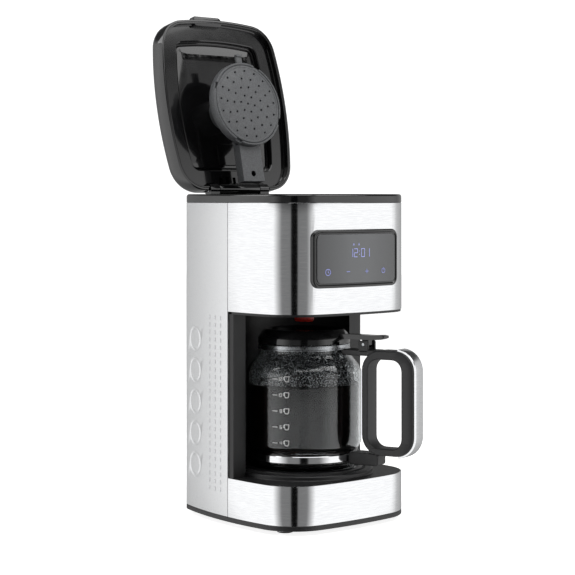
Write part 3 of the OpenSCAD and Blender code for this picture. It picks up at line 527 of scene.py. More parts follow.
# Red moulded silicone of the drip stop: saturated with a satin skin
RED = grained("red_silicone", "#a32015", 500, (0.3, 0.42), 0.06, ("#8f1a11", "#b5281b"), IOR=1.43,
              Subsurface_Weight=0.1)
# Brewed coffee: all but black, reddish where it is thin, with a mirror-like skin
COFFEE = grained("brewed_coffee", "#0d0605", 30, (0.04, 0.09), 0.0, ("#0a0504", "#140907"), IOR=1.34,
                 Coat_Weight=0.2)
# White ceramic ink fired on glass: chalky with slightly uneven cover
INK = grained("white_ink", "#f2f2f2", 900, (0.5, 0.7), 0.0, ("#e6e6e6", "#fafafa"))
WINDOW, GLASS, MIST = smoked_window(), clear_glass(), mist()
GLOW, DIM = lit("clock_glow", "#868cc8", 0.7), lit("sign_glow", "#7f86c8", 0.4)
TOWER_BLACK = satin_black("tower_pp", "#131314", "#1c1c1d")
HANDLE_BLACK = satin_black("handle_pp", "#262627", "#303031")
LID_WALL = gloss_black("lid_abs", "#1a1a1b")
TANK_SMOKE = gloss_black("tank_san", "#1d2022")

FINISH_OF_SLOT = {
    "steel": STEEL, "silver_skin": SILVER, "black_gloss": GLOSS, "black_matte": TOWER_BLACK,
    "grey_plastic": GREY, "smoke_window": WINDOW, "plate_coat": COAT, "rubber": RUBBER, "silicone": HOSE,
    "heater_alloy": ALLOY, "zinc_steel": ZINC, "ceramic_body": CERAMIC, "board": BOARD,
    "display_white": INK, "tank_smoke": TANK_SMOKE, "red_nozzle": RED, "jug_clear": GLASS,
    "coffee_liquid": COFFEE,
}


def finish_cad_nodes():
    for part in frame["record"]["subparts"]:
        obj = frame["nodes"][part["node"]]
        obj.data.materials.clear()
        obj.data.materials.append(FINISH_OF_SLOT[part["material_slot"]])


# ---------------------------------------------------------------------------------------------------
# Body
# ---------------------------------------------------------------------------------------------------


def wrap(name, low, high):
    """A steel wrap round the front: a thin sheet with rolled edges, open at the seam."""
    profile = [(0.5, low), (0.15, low + 0.15), (0, low + 0.5), (0, high - 0.5), (0.15, high - 0.15),
               (0.5, high),
               (SKIN_T, high), (SKIN_T, low)]
    obj = sweep(name, [body_ring(e, z) for e, z in profile], closed=True)
    return cut(obj, high_y=SEAM + MID_Y)


def panel_cutter(w, h, r, depth=60):
    """An upright rounded rectangle that runs through the front wall."""
    front = MID_Y - BODY_D / 2
    rings = [[(PANEL_X + px, y, PANEL_Z + pz) for px, pz in rounded_rect(w, h, r)]
             for y in (front - depth / 2, front + depth)]
    return sweep("cutter", rings)


def make_wraps():
    base = wrap("base_wrap", BAND_LOW.z, BAND_HIGH.z)
    finish_piece(base, STEEL, "housing", "steel", "base_band")
    head = wrap("head_wrap", HEAD_LOW.z, HEAD_HIGH.z)
    w, h = BEZEL_HIGH.x - BEZEL_LOW.x, BEZEL_HIGH.z - BEZEL_LOW.z
    carve(head, panel_cutter(w - 4, h - 4, 7))
    finish_piece(head, STEEL, "housing", "steel", "head_band")


def make_rear_skin():
    """The satin rear skin, with raised dashes and shallow round dimples on each side."""
    low, high = SKIN_LOW.z, SKIN_HIGH.z
    between = [(0, 41.6 + i * 34.8) for i in range(9) if 41.6 + i * 34.8 < high - 5]
    profile = [(0.6, low), (0.15, low + 0.2), (0, low + 0.6)] + between + [
        (0, high - 0.6), (0.15, high - 0.2), (0.6, high), (SKIN_T + 0.2, high), (SKIN_T + 0.2, low)]
    skin = sweep("rear_shell", [body_ring(e, z) for e, z in profile], closed=True)
    cut(skin, low_y=SEAM + 0.8 + MID_Y)
    cutters = []
    for side in (-1, 1):
        turn = math.asin((70 - SIDE_MID) / SIDE_BOW) * side
        for i in range(5):
            # A shallow cup: a ring with a soft outer edge and a raised middle
            ring = lathe("cutter", 0, 0, [(14.5, 1.5), (14.5, -0.2), (13.2, -0.75), (11.6, -0.75), (10.3,
                                                                                                    -0.15),
                                          (10.3, 1.5)], steps=48, closed=True)
            x, z = side_x(70) * side, 59 + i * 34.8
            ring.data.transform(Matrix.Rotation(math.radians(90) * side, 4, "Y"))
            ring.data.transform(Matrix.Rotation(turn, 4, "Z"))
            ring.data.transform(Matrix.Translation(Vector((x, 70 + MID_Y, z)) * MM))
            cutters.append(ring)
    gland = rod("cutter", (-BODY_W / 4, MID_Y + BODY_D / 2 - 8, 28.5),
                (-BODY_W / 4, MID_Y + BODY_D / 2 + 4, 28.5), 6.2)
    carve(skin, join("cutter", cutters), gland)
    finish_piece(skin, SILVER, "housing", "silver_skin", "rear_skin")
    dashes = []
    for side in (-1, 1):
        for column in (14, 25, 36):
            y = SEAM + column
            x = side_x(y) * side
            turn = math.asin((y - SIDE_MID) / SIDE_BOW) * side
            for i in range(24):
                z = 38 + i * 8.1
                dash = block("dash", (-0.5, -0.8, -2.4), (0.45, 0.8, 2.4), bevel=0.42, segments=2)
                dash.data.transform(Matrix.Rotation(turn, 4, "Z"))
                dash.data.transform(Matrix.Translation(Vector((x, y + MID_Y, z)) * MM))
                dashes.append(dash)
    finish_piece(join("side_dashes", dashes), STEEL, "housing", "steel")


def cad_copy(node):
    """A welded copy of a CAD node's mesh."""
    obj = bpy.data.objects.new(node + "_inside", frame["nodes"][node].data.copy())
    bpy.context.collection.objects.link(obj)
    obj.data.materials.clear()
    return weld(obj)


def trim_above(obj, z):
    with editing(obj):
        bpy.ops.mesh.bisect(plane_co=(0, 0, z * MM), plane_no=(0, 0, 1), clear_outer=True)


def make_rim():
    """The black rim: outer wall, rolled top edge, ledge for the lid, and the deck inside."""
    low, top, deck = BAND_TOP, RIM_TOP, RIM_TOP - 38
    profile = [(1.2, low + 0.02), (0.5, low + 0.1), (0, low + 0.6), (0, top - 2.6), (0.5, top - 1.2),
               (1.4, top - 0.35),
               (2.4, top), (11.6, top), (12, top - 0.4), (12, top - 3), (11.6, top - 3.4), (3.4, top - 3.4),
               (3.4, deck), (1.6, deck), (1.4, low)]
    rim = sweep("rim", [body_ring(e, z) for e, z in profile], closed=True)
    room = block("cutter", (-45, MID_Y + BODY_D / 2 - 13.5, top - 3.4),
                 (45, MID_Y + BODY_D / 2 + 2, top + 2), 0.2)
    carve(rim, room)
    inner = cad_copy("top_rim")
    trim_above(inner, deck)
    finish_piece(join("rim", [rim, inner]), GLOSS, "housing", "black_gloss", "top_rim")


def make_base():
    """Base tray: flange, deck, round dais, and the dark lip that the steel wrap sits on."""
    low, flange, deck = TRAY_LOW.z, BAND_LOW.z, BAND_HIGH.z
    profile = [(4, low), (0.9, low), (0.25, low + 0.4), (0, low + 1), (0, flange - 0.5), (0.4, flange - 0.05),
               (1.3, flange), (1.4, deck - 0.3), (1.9, deck), (3.6, deck), (3.6, deck - 2.6), (4, deck - 2.6)]
    tray = sweep("base_shell", [body_ring(e, z) for e, z in profile], closed=True)
    dais, hole = 76, PLATE_HIGH.x - JUG.x + 2.5
    rise = PLATE_HIGH.z - 2 - deck
    deck_plate = sweep("deck_plate", [body_ring(3.5, deck - 2.6), body_ring(3.5, deck), body_ring(9, deck)])
    carve(deck_plate, lathe("cutter", JUG.x, JUG.y, [(hole, deck - 8), (hole, deck + 8)]))
    ring = lathe("dais", JUG.x, JUG.y, [(hole, deck - 0.5), (hole, deck + rise - 0.5), (hole + 0.5,
                                                                                        deck + rise),
                                        (dais - 2.2, deck + rise), (dais - 0.9, deck + rise - 0.35),
                                        (dais - 0.2, deck + rise - 1.3), (dais, deck + 1), (dais + 0.6,
                                                                                            deck + 0.2),
                                        (dais + 1.2, deck + 0.02), (dais, deck - 0.5)], closed=True)
    finish_piece(join("base_body", [tray, deck_plate, ring]), SATIN, "housing", "black_matte", "base_tray")


def make_feet():
    """Rubber feet with a rounded tread and a recessed middle."""
    front_x = side_x(-62) - 26
    rear_x = side_x(78) - 26
    parts = []
    for side in (-1, 1):
        for x, y in ((front_x, -62), (rear_x, 78)):
            parts.append(lathe("foot", side * x, y + MID_Y,
                               [(2.5, 0.7), (5, 0.6), (6, 0), (7.6, 0), (8.6, 0.5), (9, 1.6),
                                                             (9, 5), (4.5, 5), (4.5, 7)], steps=40))
    finish_piece(join("rubber_feet", parts), RUBBER, "housing", "rubber", "feet")


def make_hot_plate():
    """Coated plate: flat middle, a pressed groove near its edge, and a rolled rim."""
    r, top = PLATE_HIGH.x - JUG.x, PLATE_HIGH.z
    profile = [(0.5, top - 1.6), (r - 1.6, top - 1.6), (r - 1.6, PLATE_LOW.z), (r, PLATE_LOW.z),
               (r, top - 0.8),
               (r - 0.3, top - 0.25), (r - 1, top), (r - 7, top), (r - 8, top - 0.7), (r - 9.5, top - 0.7),
               (r - 10.5, top), (12, top), (11, top - 0.4), (0.5, top - 0.4)]
    finish_piece(lathe("warming_plate", JUG.x, JUG.y, profile), COAT, "housing", "plate_coat", "hot_plate")


def front_y(x, out=0.0):
    """Y of the bowed front at x, out is how far it stands proud."""
    bow = FRONT_BOW + out
    return MID_Y - BODY_D / 2 + FRONT_BOW - math.sqrt(bow * bow - x * x)


def panel_ring(w, h, r, out):
    """A rounded rectangle laid on the bowed front, standing out of it."""
    return [(PANEL_X + px, front_y(PANEL_X + px, out), PANEL_Z + pz) for px, pz in rounded_rect(w, h, r, 10)]


def long_panel_ring(w, h, r, out, steps=12):
    """The same with points along its long sides, so that it follows the bow."""
    ring = panel_ring(w, h, r, out)
    dense = []
    for i, p in enumerate(ring):
        q = ring[(i + 1) % len(ring)]
        dense.append(p)
        if abs(q[0] - p[0]) > w / 2:
            for k in range(1, steps):
                px = p[0] + (q[0] - p[0]) * k / steps
                dense.append((px, front_y(px, out), p[2]))
    return dense


def make_control_panel():
    w, h = BEZEL_HIGH.x - BEZEL_LOW.x, BEZEL_HIGH.z - BEZEL_LOW.z
    proud = 3.4
    # Bezel: a rounded frame with a bright rolled edge and a step down to the window
    steps = [(0, 0, 9, -1), (0, 0, 9, 0.4), (-0.2, -0.2, 8.9, 1.6), (-1, -1, 8.5, 2.7),
             (-2.2, -2.2, 8, proud - 0.15),
             (-3.4, -3.4, 7.5, proud), (-5, -5, 7, proud), (-6.2, -6.2, 6.6, proud - 0.5),
             (-7.4, -7.4, 6.2, proud - 1.1), (-10, -10, 6, proud - 1.2), (-10, -10, 6, -1)]
    bezel = sweep("panel_frame", [long_panel_ring(w + a, h + b, r, out) for a, b, r, out in steps],
                  closed=True)
    finish_piece(bezel, GLOSS, "housing", "black_gloss", "control_bezel")
    rings = [(w - 10, h - 10, 6, 0.2), (w - 10, h - 10, 6, proud - 0.6),
             (w - 10.6, h - 10.6, 5.8, proud - 0.3)]
    window = sweep("smoked_window", [long_panel_ring(*ring) for ring in rings])
    grid_fill(window)
    finish_piece(window, WINDOW, "housing", "smoke_window", "display_window")


def grid_fill(obj):
    """Cut a wide curved face into upright strips so that it follows the bow."""
    strip = 5.7
    with editing(obj):
        for i in range(-9, 10):
            bpy.ops.mesh.select_all(action="SELECT")
            bpy.ops.mesh.bisect(plane_co=((PANEL_X + i * strip) * MM, 0, 0), plane_no=(1, 0, 0))


# ---------------------------------------------------------------------------------------------------
# Printed signs: strokes on a flat sheet, then laid on a surface
# ---------------------------------------------------------------------------------------------------

SEGMENTS = {
    "0": "abcdef", "1": "bc", "2": "abged", "4": "fgbc", "6": "afgedc", "8": "abcdefg",
}
# Ends of each bar of a digit, as shares of its width and height
BARS = {"a": ((0, 1), (1, 1)), "b": ((1, 1), (1, 0.5)), "c": ((1, 0.5), (1, 0)), "d": ((0, 0), (1, 0)),
        "e": ((0, 0), (0, 0.5)), "f": ((0, 0.5), (0, 1)), "g": ((0, 0.5), (1, 0.5))}


def stroke(a, b, w):
    """A straight bar with blunt ends on the flat sheet: X along, Z up, thin in Y."""
    start()
    a, b = Vector((a[0], 0, a[1])), Vector((b[0], 0, b[1]))
    length = (b - a).length
    bpy.ops.mesh.primitive_cube_add(size=1)
    obj = named("stroke")
    obj.data.transform(Matrix.Diagonal((length + w, 0.12, w, 1)))
    bpy.ops.object.mode_set(mode="EDIT")
    bpy.ops.mesh.select_all(action="SELECT")
    bpy.ops.mesh.bevel(offset=min(w, 0.12) * 0.3, segments=1, affect="EDGES")
    bpy.ops.object.mode_set(mode="OBJECT")
    turn = Matrix.Rotation(-math.atan2(b.z - a.z, b.x - a.x), 4, "Y")
    obj.data.transform(Matrix.Translation((a + b) / 2) @ turn)
    return obj


def digit(char, x, z, w, h, line, gap=0.12):
    strokes = []
    for bar in SEGMENTS[char]:
        (ax, az), (bx, bz) = BARS[bar]
        mx, mz = (ax + bx) / 2, (az + bz) / 2
        ends = [(x + (mx + (px - mx) * (1 - gap)) * w, z + (mz + (pz - mz) * (1 - gap)) * h)
                for px, pz in ((ax, az), (bx, bz))]
        strokes.append(stroke(*ends, line))
    return strokes


def polyline(points, line):
    return [stroke(a, b, line) for a, b in zip(points, points[1:])]


def ring_stroke(x, z, r, line, a0=0, a1=360, steps=20):
    points = [(x + r * math.cos(math.radians(a0 + (a1 - a0) * i / steps)),
               z + r * math.sin(math.radians(a0 + (a1 - a0) * i / steps))) for i in range(steps + 1)]
    return polyline(points, line)


def on_front(strokes, name, x, z, out=3.3):
    """Lay strokes on the window."""
    obj = join(name, strokes)
    for v in obj.data.vertices:
        px = x + v.co.x
        v.co = Vector((px, front_y(px, out) + v.co.y, z + v.co.z)) * MM
    return obj


def on_jug(strokes, name, angle, z, r):
    """Lay strokes on the glass, angle in degrees from +X."""
    obj = join(name, strokes)
    for v in obj.data.vertices:
        a = math.radians(angle) + v.co.x / r
        rr = r - v.co.y
        v.co = Vector((JUG.x + rr * math.cos(a), JUG.y + rr * math.sin(a), z + v.co.z)) * MM
    return obj


def make_signs():
    clock = []
    for char, x in (("1", -12.4), ("2", -5.4), ("0", 5), ("1", 12.4)):
        clock += digit(char, x, 0, 4.8, 8.6, 0.6)
    clock += [stroke((2.2, 2.6), (2.3, 2.6), 0.7), stroke((2.2, 6.2), (2.3, 6.2), 0.7)]
    for x in (-6, 1.6):
        clock += polyline([(x - 0.9, 12.6), (x, 14.4), (x + 0.9, 12.6), (x - 0.9, 12.6)], 0.35)
    obj = on_front(clock, "clock_digits", PANEL_X - 1.6, PANEL_Z + 1.6)
    finish_piece(obj, GLOW, "housing", "display_white")
    signs = ring_stroke(-43, 0, 3.3, 0.6) + polyline([(-43, 1.9), (-43, 0), (-41.6, -0.9)], 0.5)
    signs += [stroke((-17.4, 0), (-13.2, 0), 0.6)]
    signs += [stroke((9.6, 0), (13.8, 0), 0.6), stroke((11.7, -2.1), (11.7, 2.1), 0.6)]
    signs += ring_stroke(37.6, 0, 2.6, 0.55, 120, 420, 16) + [stroke((37.6, 0.4), (37.6, 3.1), 0.55)]
    finish_piece(on_front(signs, "touch_signs", PANEL_X, PANEL_Z - 14), DIM, "housing", "display_white")


def make_marks():
    """Cup marks on the glass: a line, a number and a small cup for every two cups."""
    parts = []
    for i, number in enumerate(("4", "6", "8", "10", "12")):
        z = i * 17.2
        parts += [stroke((-9, z), (-3.5, z), 0.7)]
        x = 0
        for char in number:
            parts += digit(char, x - (3 if len(number) == 2 else 0), z - 1.6, 1.9, 3.4, 0.5, gap=0.05)
            x += 3
        cup = [(5, z + 2.9), (5.4, z - 1.2), (6.3, z - 2.5), (8.9, z - 2.5), (9.8, z - 1.2),
               (10.2, z + 2.9), (5, z + 2.9)]
        parts += polyline(cup, 0.62) + polyline([(5.2, z + 2), (3.7, z + 1.8), (3.7, z + 0.2),
                                                 (5.3, z - 0.6)], 0.55)
    obj = on_jug(parts, "cup_marks", 204, 91, JUG_R + 0.14)
    finish_piece(obj, INK, "jug", "display_white")


# ---------------------------------------------------------------------------------------------------
# Lid
# ---------------------------------------------------------------------------------------------------


def lid_openings(half_w):
    """Cutters for the notch round the hinge and the three steam slots."""
    front, top = HINGE.y - 7.7, LID_Z + LID_H + 3
    notch = block("cutter", (-half_w, front, LID_Z - 2), (half_w, HINGE.y + 4, HINGE.z + 7.7), 0.3)
    return [notch] + [block("cutter", (x - 2.2, HINGE.y - 14.5, LID_Z - 3), (x + 2.2, HINGE.y - 7.1, top),
                            0.5)
                      for x in (-21, -11, -1)]


def make_lid():
    top = LID_Z + LID_H
    profile = [(LID_T, LID_Z + 0.02), (0.6, LID_Z), (0.15, LID_Z + 0.25), (0, LID_Z + 0.8), (0, top - 8.4),
               (0.35, top - 5.6), (1.4, top - 3.2), (3, top - 1.4), (5.2, top - 0.35), (8, top), (30, top)]
    shell = sweep("lid_cover", [lid_ring(e, z) for e, z in profile], low_cap=False)
    inside = sweep("lid_cover_inside", [lid_ring(e, z) for e, z in
                                        ((LID_T, LID_Z + 0.02), (LID_T, top - 7), (6, top - LID_T),
                                         (30, top - LID_T))],
                   low_cap=False)
    # The tab stands clear of every cut, so it joins after them
    tab = sweep("finger_tab", [[(px - 13, LID_MID - LID_D / 2 + 2.5 + py, LID_Z + z)
                                for px, py in rounded_rect(41.6 - 2 * e, 11.8 - 2 * e, 4)]
                               for e, z in ((2, 0.5), (0.5, 0.9), (0, 1.8), (0, 8.2), (0.5, 9.1), (2, 9.5))])
    cover = carve(weld(join("lid_cover", [shell, inside])), *lid_openings(46))
    cover = join("lid_cover", [cover, tab])
    move_all(cover, opened)
    finish_piece(cover, LID_WALL, "lid", "black_gloss", "lid_shell")

    e = LID_T + 0.2
    steps = [(e, LINER_Z + 2), (e, LID_Z + 0.4), (e + 0.4, LID_Z), (e + 1.6, LID_Z), (e + 2, LID_Z + 0.5),
             (e + 2.2, LID_Z + 5.6), (e + 3, LID_Z + 6.5), (e + 20.8, LID_Z + 6.5), (e + 21.8, LID_Z + 7.2),
             (e + 22, LID_Z + 8), (e + 22.2, LINER_Z - 0.6), (e + 23, LINER_Z), (e + 24.4, LINER_Z),
             (e + 25, LINER_Z - 1), (e + 25.8, LINER_Z - 1.8), (e + 27, LINER_Z - 2.1), (44, LINER_Z - 2.1)]
    liner = sweep("lid_lining", [lid_ring(inset, z) for inset, z in steps], low_cap=False)
    back = sweep("lid_lining_back",
                 [lid_ring(inset, z) for inset, z in ((e, LINER_Z + 2), (44, LINER_Z + 2))],
                 low_cap=False)
    lining = weld(join("lid_lining", [liner, back]))
    carve(lining, *lid_openings(43))
    barrel = rod("lid_barrel", (-30, HINGE.y, HINGE.z), (30, HINGE.y, HINGE.z), 6.5, 40, 0.6)
    webs = [block("lid_web", (a, HINGE.y - 9.7, HINGE.z + 2), (b, HINGE.y, LINER_Z + 2), 0.5)
            for a, b in ((-30, -24.5), (2.5, 30))]
    tray = [sweep("steam_pad",
                  [[(px - 4, LID_MID + LID_D / 2 - 44 + py, z) for px,
                    py in rounded_rect(26 - 2 * i, 26 - 2 * i, 2)]
                                for i, z in ((0, LINER_Z - 0.5), (0, LINER_Z - 3.2), (0.8, LINER_Z - 4))])]
    lining = join("lid_lining", [lining, barrel] + webs + tray)
    move_all(lining, opened)
    finish_piece(lining, GLOSS, "lid", "black_gloss", "lid_liner")


def weld(obj):
    """Merge points that lie together and turn all faces outwards."""
    with editing(obj):
        bpy.ops.mesh.remove_doubles(threshold=0.00001)
        bpy.ops.mesh.normals_make_consistent(inside=False)
    return obj


def make_spray_head():
    """Domed holder ring round the perforated cover, with four bayonet notches and a clip tab."""
    face, top, r = SPRAY_FACE, SPRAY_FACE + 14, SPRAY_R + 3
    profile = [(SPRAY_R + 0.5, face + 4.6), (SPRAY_R + 0.5, face + 0.5), (SPRAY_R + 0.9, face + 0.1),
               (r - 0.8, face), (r - 0.2, face + 0.5), (r, face + 1.3), (r, face + 8), (r - 1, face + 11),
               (r - 4, face + 13.2), (r - 9, top), (9, top)]
    holder = lathe("spray_holder", 0, SPRAY_Y, profile)
    notches = []
    for a in (20, 110, 200, 290):
        b = math.radians(a + 5)
        notch = block("cutter", (-2.6, -4.4, face - 1), (2.6, 4.4, face + 3.4), 0.8)
        notch.data.transform(Matrix.Rotation(b, 4, "Z"))
        notch.data.transform(Matrix.Translation(Vector((math.cos(b) * (SPRAY_R + 2),
                                                        SPRAY_Y + math.sin(b) * (SPRAY_R + 2), 0)) * MM))
        notches.append(notch)
    carve(holder, join("cutter", notches))
    tab = [block("clip", (-4.5, SPRAY_Y - r - 10.5, face + 5), (4.5, SPRAY_Y - r + 2, face + 8), 1),
           block("clip", (-4.5, SPRAY_Y - r - 11, face + 3.4), (4.5, SPRAY_Y - r - 8, face + 8), 0.9)]
    holder = join("spray_holder", [holder] + tab)
    move_all(holder, opened)
    finish_piece(holder, GREY, "lid", "grey_plastic", "spray_head")


def make_spray_cover():
    """Perforated cover: a disc with a shallow crown and rings of real holes."""
    face = SPRAY_FACE
    disc = lathe("spray_cover_disc", 0, SPRAY_Y,
                 [(20, face + 3), (SPRAY_R - 0.6, face + 3), (SPRAY_R, face + 2.5),
                                                  (SPRAY_R, face + 0.8), (SPRAY_R - 0.7, face + 0.15),
                                                  (SPRAY_R - 2.4, face), (SPRAY_R - 3, face + 0.5),
                                                  (SPRAY_R - 3.8, face + 0.5), (SPRAY_R - 4.6,
                                                                                face + 0.1), (20,
                                                                                              face + 0.1)])
    holes = []
    for count, r in ((1, 0), (6, 10), (11, 20), (14, 30), (17, 39)):
        for i in range(count):
            a = 2 * math.pi * i / count + math.radians(r)
            x, y = r * math.cos(a), SPRAY_Y + r * math.sin(a)
            holes.append(lathe("hole", x, y, [(1.2, face + 5), (1.2, face + 0.6), (1.6, face + 0.1), (1.6,
                                                                                                      face - 1)],
                               steps=12))
    carve(disc, join("cutter", holes))
    move_all(disc, opened)
    finish_piece(disc, GREY, "spray_cover", "grey_plastic", "spray_cover")


# ---------------------------------------------------------------------------------------------------
# Jug
# ---------------------------------------------------------------------------------------------------


def wave(r0, z0, r1, z1, steps=10):
    return [(r0 + (r1 - r0) * (1 - math.cos(math.pi * i / steps)) / 2, z0 + (z1 - z0) * i / steps)
            for i in range(steps + 1)]


def jug_side(e):
    """Half section of the jug's outside, pulled in by e."""
    base, shoulder = JUG.z, JUG.z + 102
    foot = [(JUG_R - 12 - e + 7.6 * math.sin(math.radians(a)),
             base + e + 7.6 * (1 - math.cos(math.radians(a))))
            for a in range(0, 91, 15)]
    return (foot + wave(JUG_R - 4.2 - e, base + 16.5, JUG_R - e, base + 27)
            + wave(JUG_R - e, shoulder, NECK_R - e, NECK_Z - 6) + [(NECK_R - e, NECK_Z - 0.4)])


def make_glass():
    t = 2.4
    outer = jug_side(0)
    inner = jug_side(t)[::-1]
    profile = [(1, JUG.z)] + outer + [(NECK_R - 0.5, NECK_Z),
                                      (NECK_R - t + 0.5, NECK_Z)] + inner + [(1, JUG.z + t)]
    glass = lathe("jug_bowl", JUG.x, JUG.y, profile)
    finish_piece(glass, GLASS, "jug", "jug_clear", "jug_glass", angle=50)
    surface = COFFEE_HIGH.z
    side = [p for p in jug_side(t + 0.15) if p[1] < surface - 1]
    r = JUG_R - t - 0.15
    pool = [(1, JUG.z + t + 0.15)] + side + [(r, surface - 0.6), (r, surface), (r - 0.6, surface - 0.5),
                                             (r - 2.5, surface - 0.9), (1, surface - 0.9)]
    finish_piece(lathe("coffee_pool", JUG.x, JUG.y, pool), COFFEE, "jug", "coffee_liquid", "coffee", angle=50)
    # Film of condensed steam on the inside of the glass above the coffee
    film = [(r_, z) for r_, z in jug_side(t + 0.25) if z > surface + 1 and z < NECK_Z - 2]
    film = [(JUG_R - t - 0.25, surface + 1)] + film
    mist_obj = sweep("steam_film", [circle_ring(JUG.x, JUG.y, r_, z) for r_, z in film], low_cap=False,
                     high_cap=False)
    finish_piece(mist_obj, MIST, "jug", "jug_clear", angle=50)


def glass_radius(z):
    """Radius of the jug's inner wall at a height."""
    points = jug_side(2.4)
    for (r0, z0), (r1, z1) in zip(points, points[1:]):
        if z0 <= z <= z1 and z1 > z0:
            return r0 + (r1 - r0) * (z - z0) / (z1 - z0)
    return points[-1][0]


def make_drops():
    """Water drops on the inside of the glass, of random size and length; one bead is made and copied."""
    rng = random.Random(7)
    start()
    bpy.ops.mesh.primitive_uv_sphere_add(segments=8, ring_count=6, radius=1)
    bead = named("drop")
    with editing(bead):
        bpy.ops.mesh.bisect(plane_co=(0, 0, -0.15), plane_no=(0, 0, 1), clear_inner=True, use_fill=True)
    low, high = COFFEE_HIGH.z + 3, NECK_Z - 9
    parts = []
    for _ in range(900):
        z = low + (high - low) * rng.random()
        a = 2 * math.pi * rng.random()
        size = 0.28 + 0.75 * rng.random() ** 3
        r = glass_radius(z) - 0.05
        obj = bpy.data.objects.new("drop", bead.data.copy())
        bpy.context.collection.objects.link(obj)
        out = Vector((-math.cos(a), -math.sin(a), 0))
        obj.data.transform(Matrix.Diagonal((size, size * (1 + 0.8 * rng.random()), size * 0.55, 1)))
        side = Vector((-math.sin(a), math.cos(a), 0))
        turn = Matrix((side, Vector((0, 0, 1)), out)).transposed().to_4x4()
        place = Vector((JUG.x + r * math.cos(a), JUG.y + r * math.sin(a), z))
        obj.data.transform(Matrix.Scale(MM, 4) @ Matrix.Translation(place) @ turn)
        parts.append(obj)
    bpy.data.objects.remove(bead)
    finish_piece(join("steam_drops", parts), GLASS, "jug", "jug_clear", angle=60)


def make_jug_metal():
    r = STRAP_HIGH.x - JUG.x
    low, high = STRAP_LOW.z, STRAP_HIGH.z
    strap = lathe("strap", JUG.x, JUG.y, [(r - 1.2, low), (r - 0.3, low), (r, low + 0.4), (r, high - 0.4),
                                          (r - 0.3, high),
                                          (r - 1.2, high)], closed=True)
    finish_piece(strap, STEEL, "jug", "steel", "jug_strap")
    r = RING_HIGH.x - JUG.x
    low, high = RING_LOW.z, RING_HIGH.z
    ring = lathe("neck_clamp", JUG.x, JUG.y,
                 [(r - 1.2, low), (r - 0.1, low), (r, low + 0.5), (r - 0.15, low + 1.2),
                                              (r - 0.45, low + 1.6), (r - 0.45, high - 0.5), (r - 0.7,
                                                                                              high), (r - 1.2, high)],
                 closed=True)
    finish_piece(ring, ZINC, "jug", "zinc_steel", "neck_ring")


def plane_ring(rho0, rho1, low, high, r, x, steps=8):
    """A rounded rectangle in the handle's plane, x across it."""
    mid, z = (rho0 + rho1) / 2, (low + high) / 2
    return [in_jug(x, mid + a, z + b) for a, b in rounded_rect(rho1 - rho0, high - low, r, steps)]


HANDLE_W, HANDLE_REACH = 23, 142.5
HOLE = (85.5, 125.5, JUG.z + 25, NECK_Z - 13.5)
HANDLE_OUT = (78, HANDLE_REACH - 2.2, JUG.z + 17.3, NECK_Z - 3.7)


def make_handle():
    """A loop of rounded section, with a cheek at the neck, a foot at the strap and ears for the lid's pin."""
    half = HANDLE_W / 2

    def band(share, x):
        """A loop between the hole and the outside, at a share of the way out."""
        low = plane_ring(*HOLE, 12, x)
        high = plane_ring(*HANDLE_OUT, 22, x)
        return [a.lerp(b, share) for a, b in zip(low, high)]

    section = [(0.0, half - 2.2), (0.04, half - 0.7), (0.12, half), (0.86, half), (0.95, half - 0.6),
               (1, half - 2.0)]
    profile = section + [(s, -x) for s, x in reversed(section)]
    loop = sweep("grip", [band(s, x) for s, x in profile], closed=True)

    def plate(name, rho0, rho1, low, high, r, w, bevel=0.9):
        rings = [plane_ring(rho0 + e, rho1 - e, low + e, high - e, max(r - e, 0.3), x)
                 for e, x in ((bevel, -w / 2), (0, -w / 2 + bevel), (0, w / 2 - bevel), (bevel, w / 2))]
        return sweep(name, rings)

    parts = [loop,
             plate("cheek", NECK_R + 1.9, 97, NECK_Z - 10.3, NECK_Z - 3.9, 3, HANDLE_W - 4),
             plate("foot", JUG_R - 2.6, 97, JUG.z + 5.5, JUG.z + 18.8, 3, HANDLE_W - 4)]
    for side in (-8, 8):
        ear = plate("ear", PIN_RHO - 6, PIN_RHO + 6, NECK_Z - 6.7, PIN_Z + 4, 2.5, 3, 0.5)
        shift = in_jug(side, 0, 0) - in_jug(0, 0, 0)
        ear.data.transform(Matrix.Translation(shift * MM))
        parts.append(ear)
    finish_piece(join("handle_body", parts), HANDLE_BLACK, "jug", "black_gloss", "jug_handle")


def make_handle_cap():
    """Steel strip round the back of the grip, from one end of the curve to the other."""
    out = (78, HANDLE_REACH, JUG.z + 15.1, NECK_Z - 1.5)
    half = (HANDLE_W - 5) / 2
    grow = 2.0

    def ring(e, x):
        return plane_ring(out[0], out[1] - e, out[2] + e, out[3] - e, 24 - e, x, 12)

    profile = [(grow, -half), (0.4, -half), (0.05, -half + 0.5), (0, -half + 1.2), (0, half - 1.2),
               (0.05, half - 0.5),
               (0.4, half), (grow, half)]
    strip = sweep("steel_cap", [ring(e, x) for e, x in profile], closed=True)
    cut_at = in_jug(0, HANDLE_REACH - 22, 0)
    away = in_jug(0, 1, 0) - in_jug(0, 0, 0)
    with editing(strip):
        bpy.ops.mesh.bisect(plane_co=cut_at * MM, plane_no=away, use_fill=True, clear_inner=True)
    finish_piece(strip, STEEL, "jug", "steel", "handle_cap")


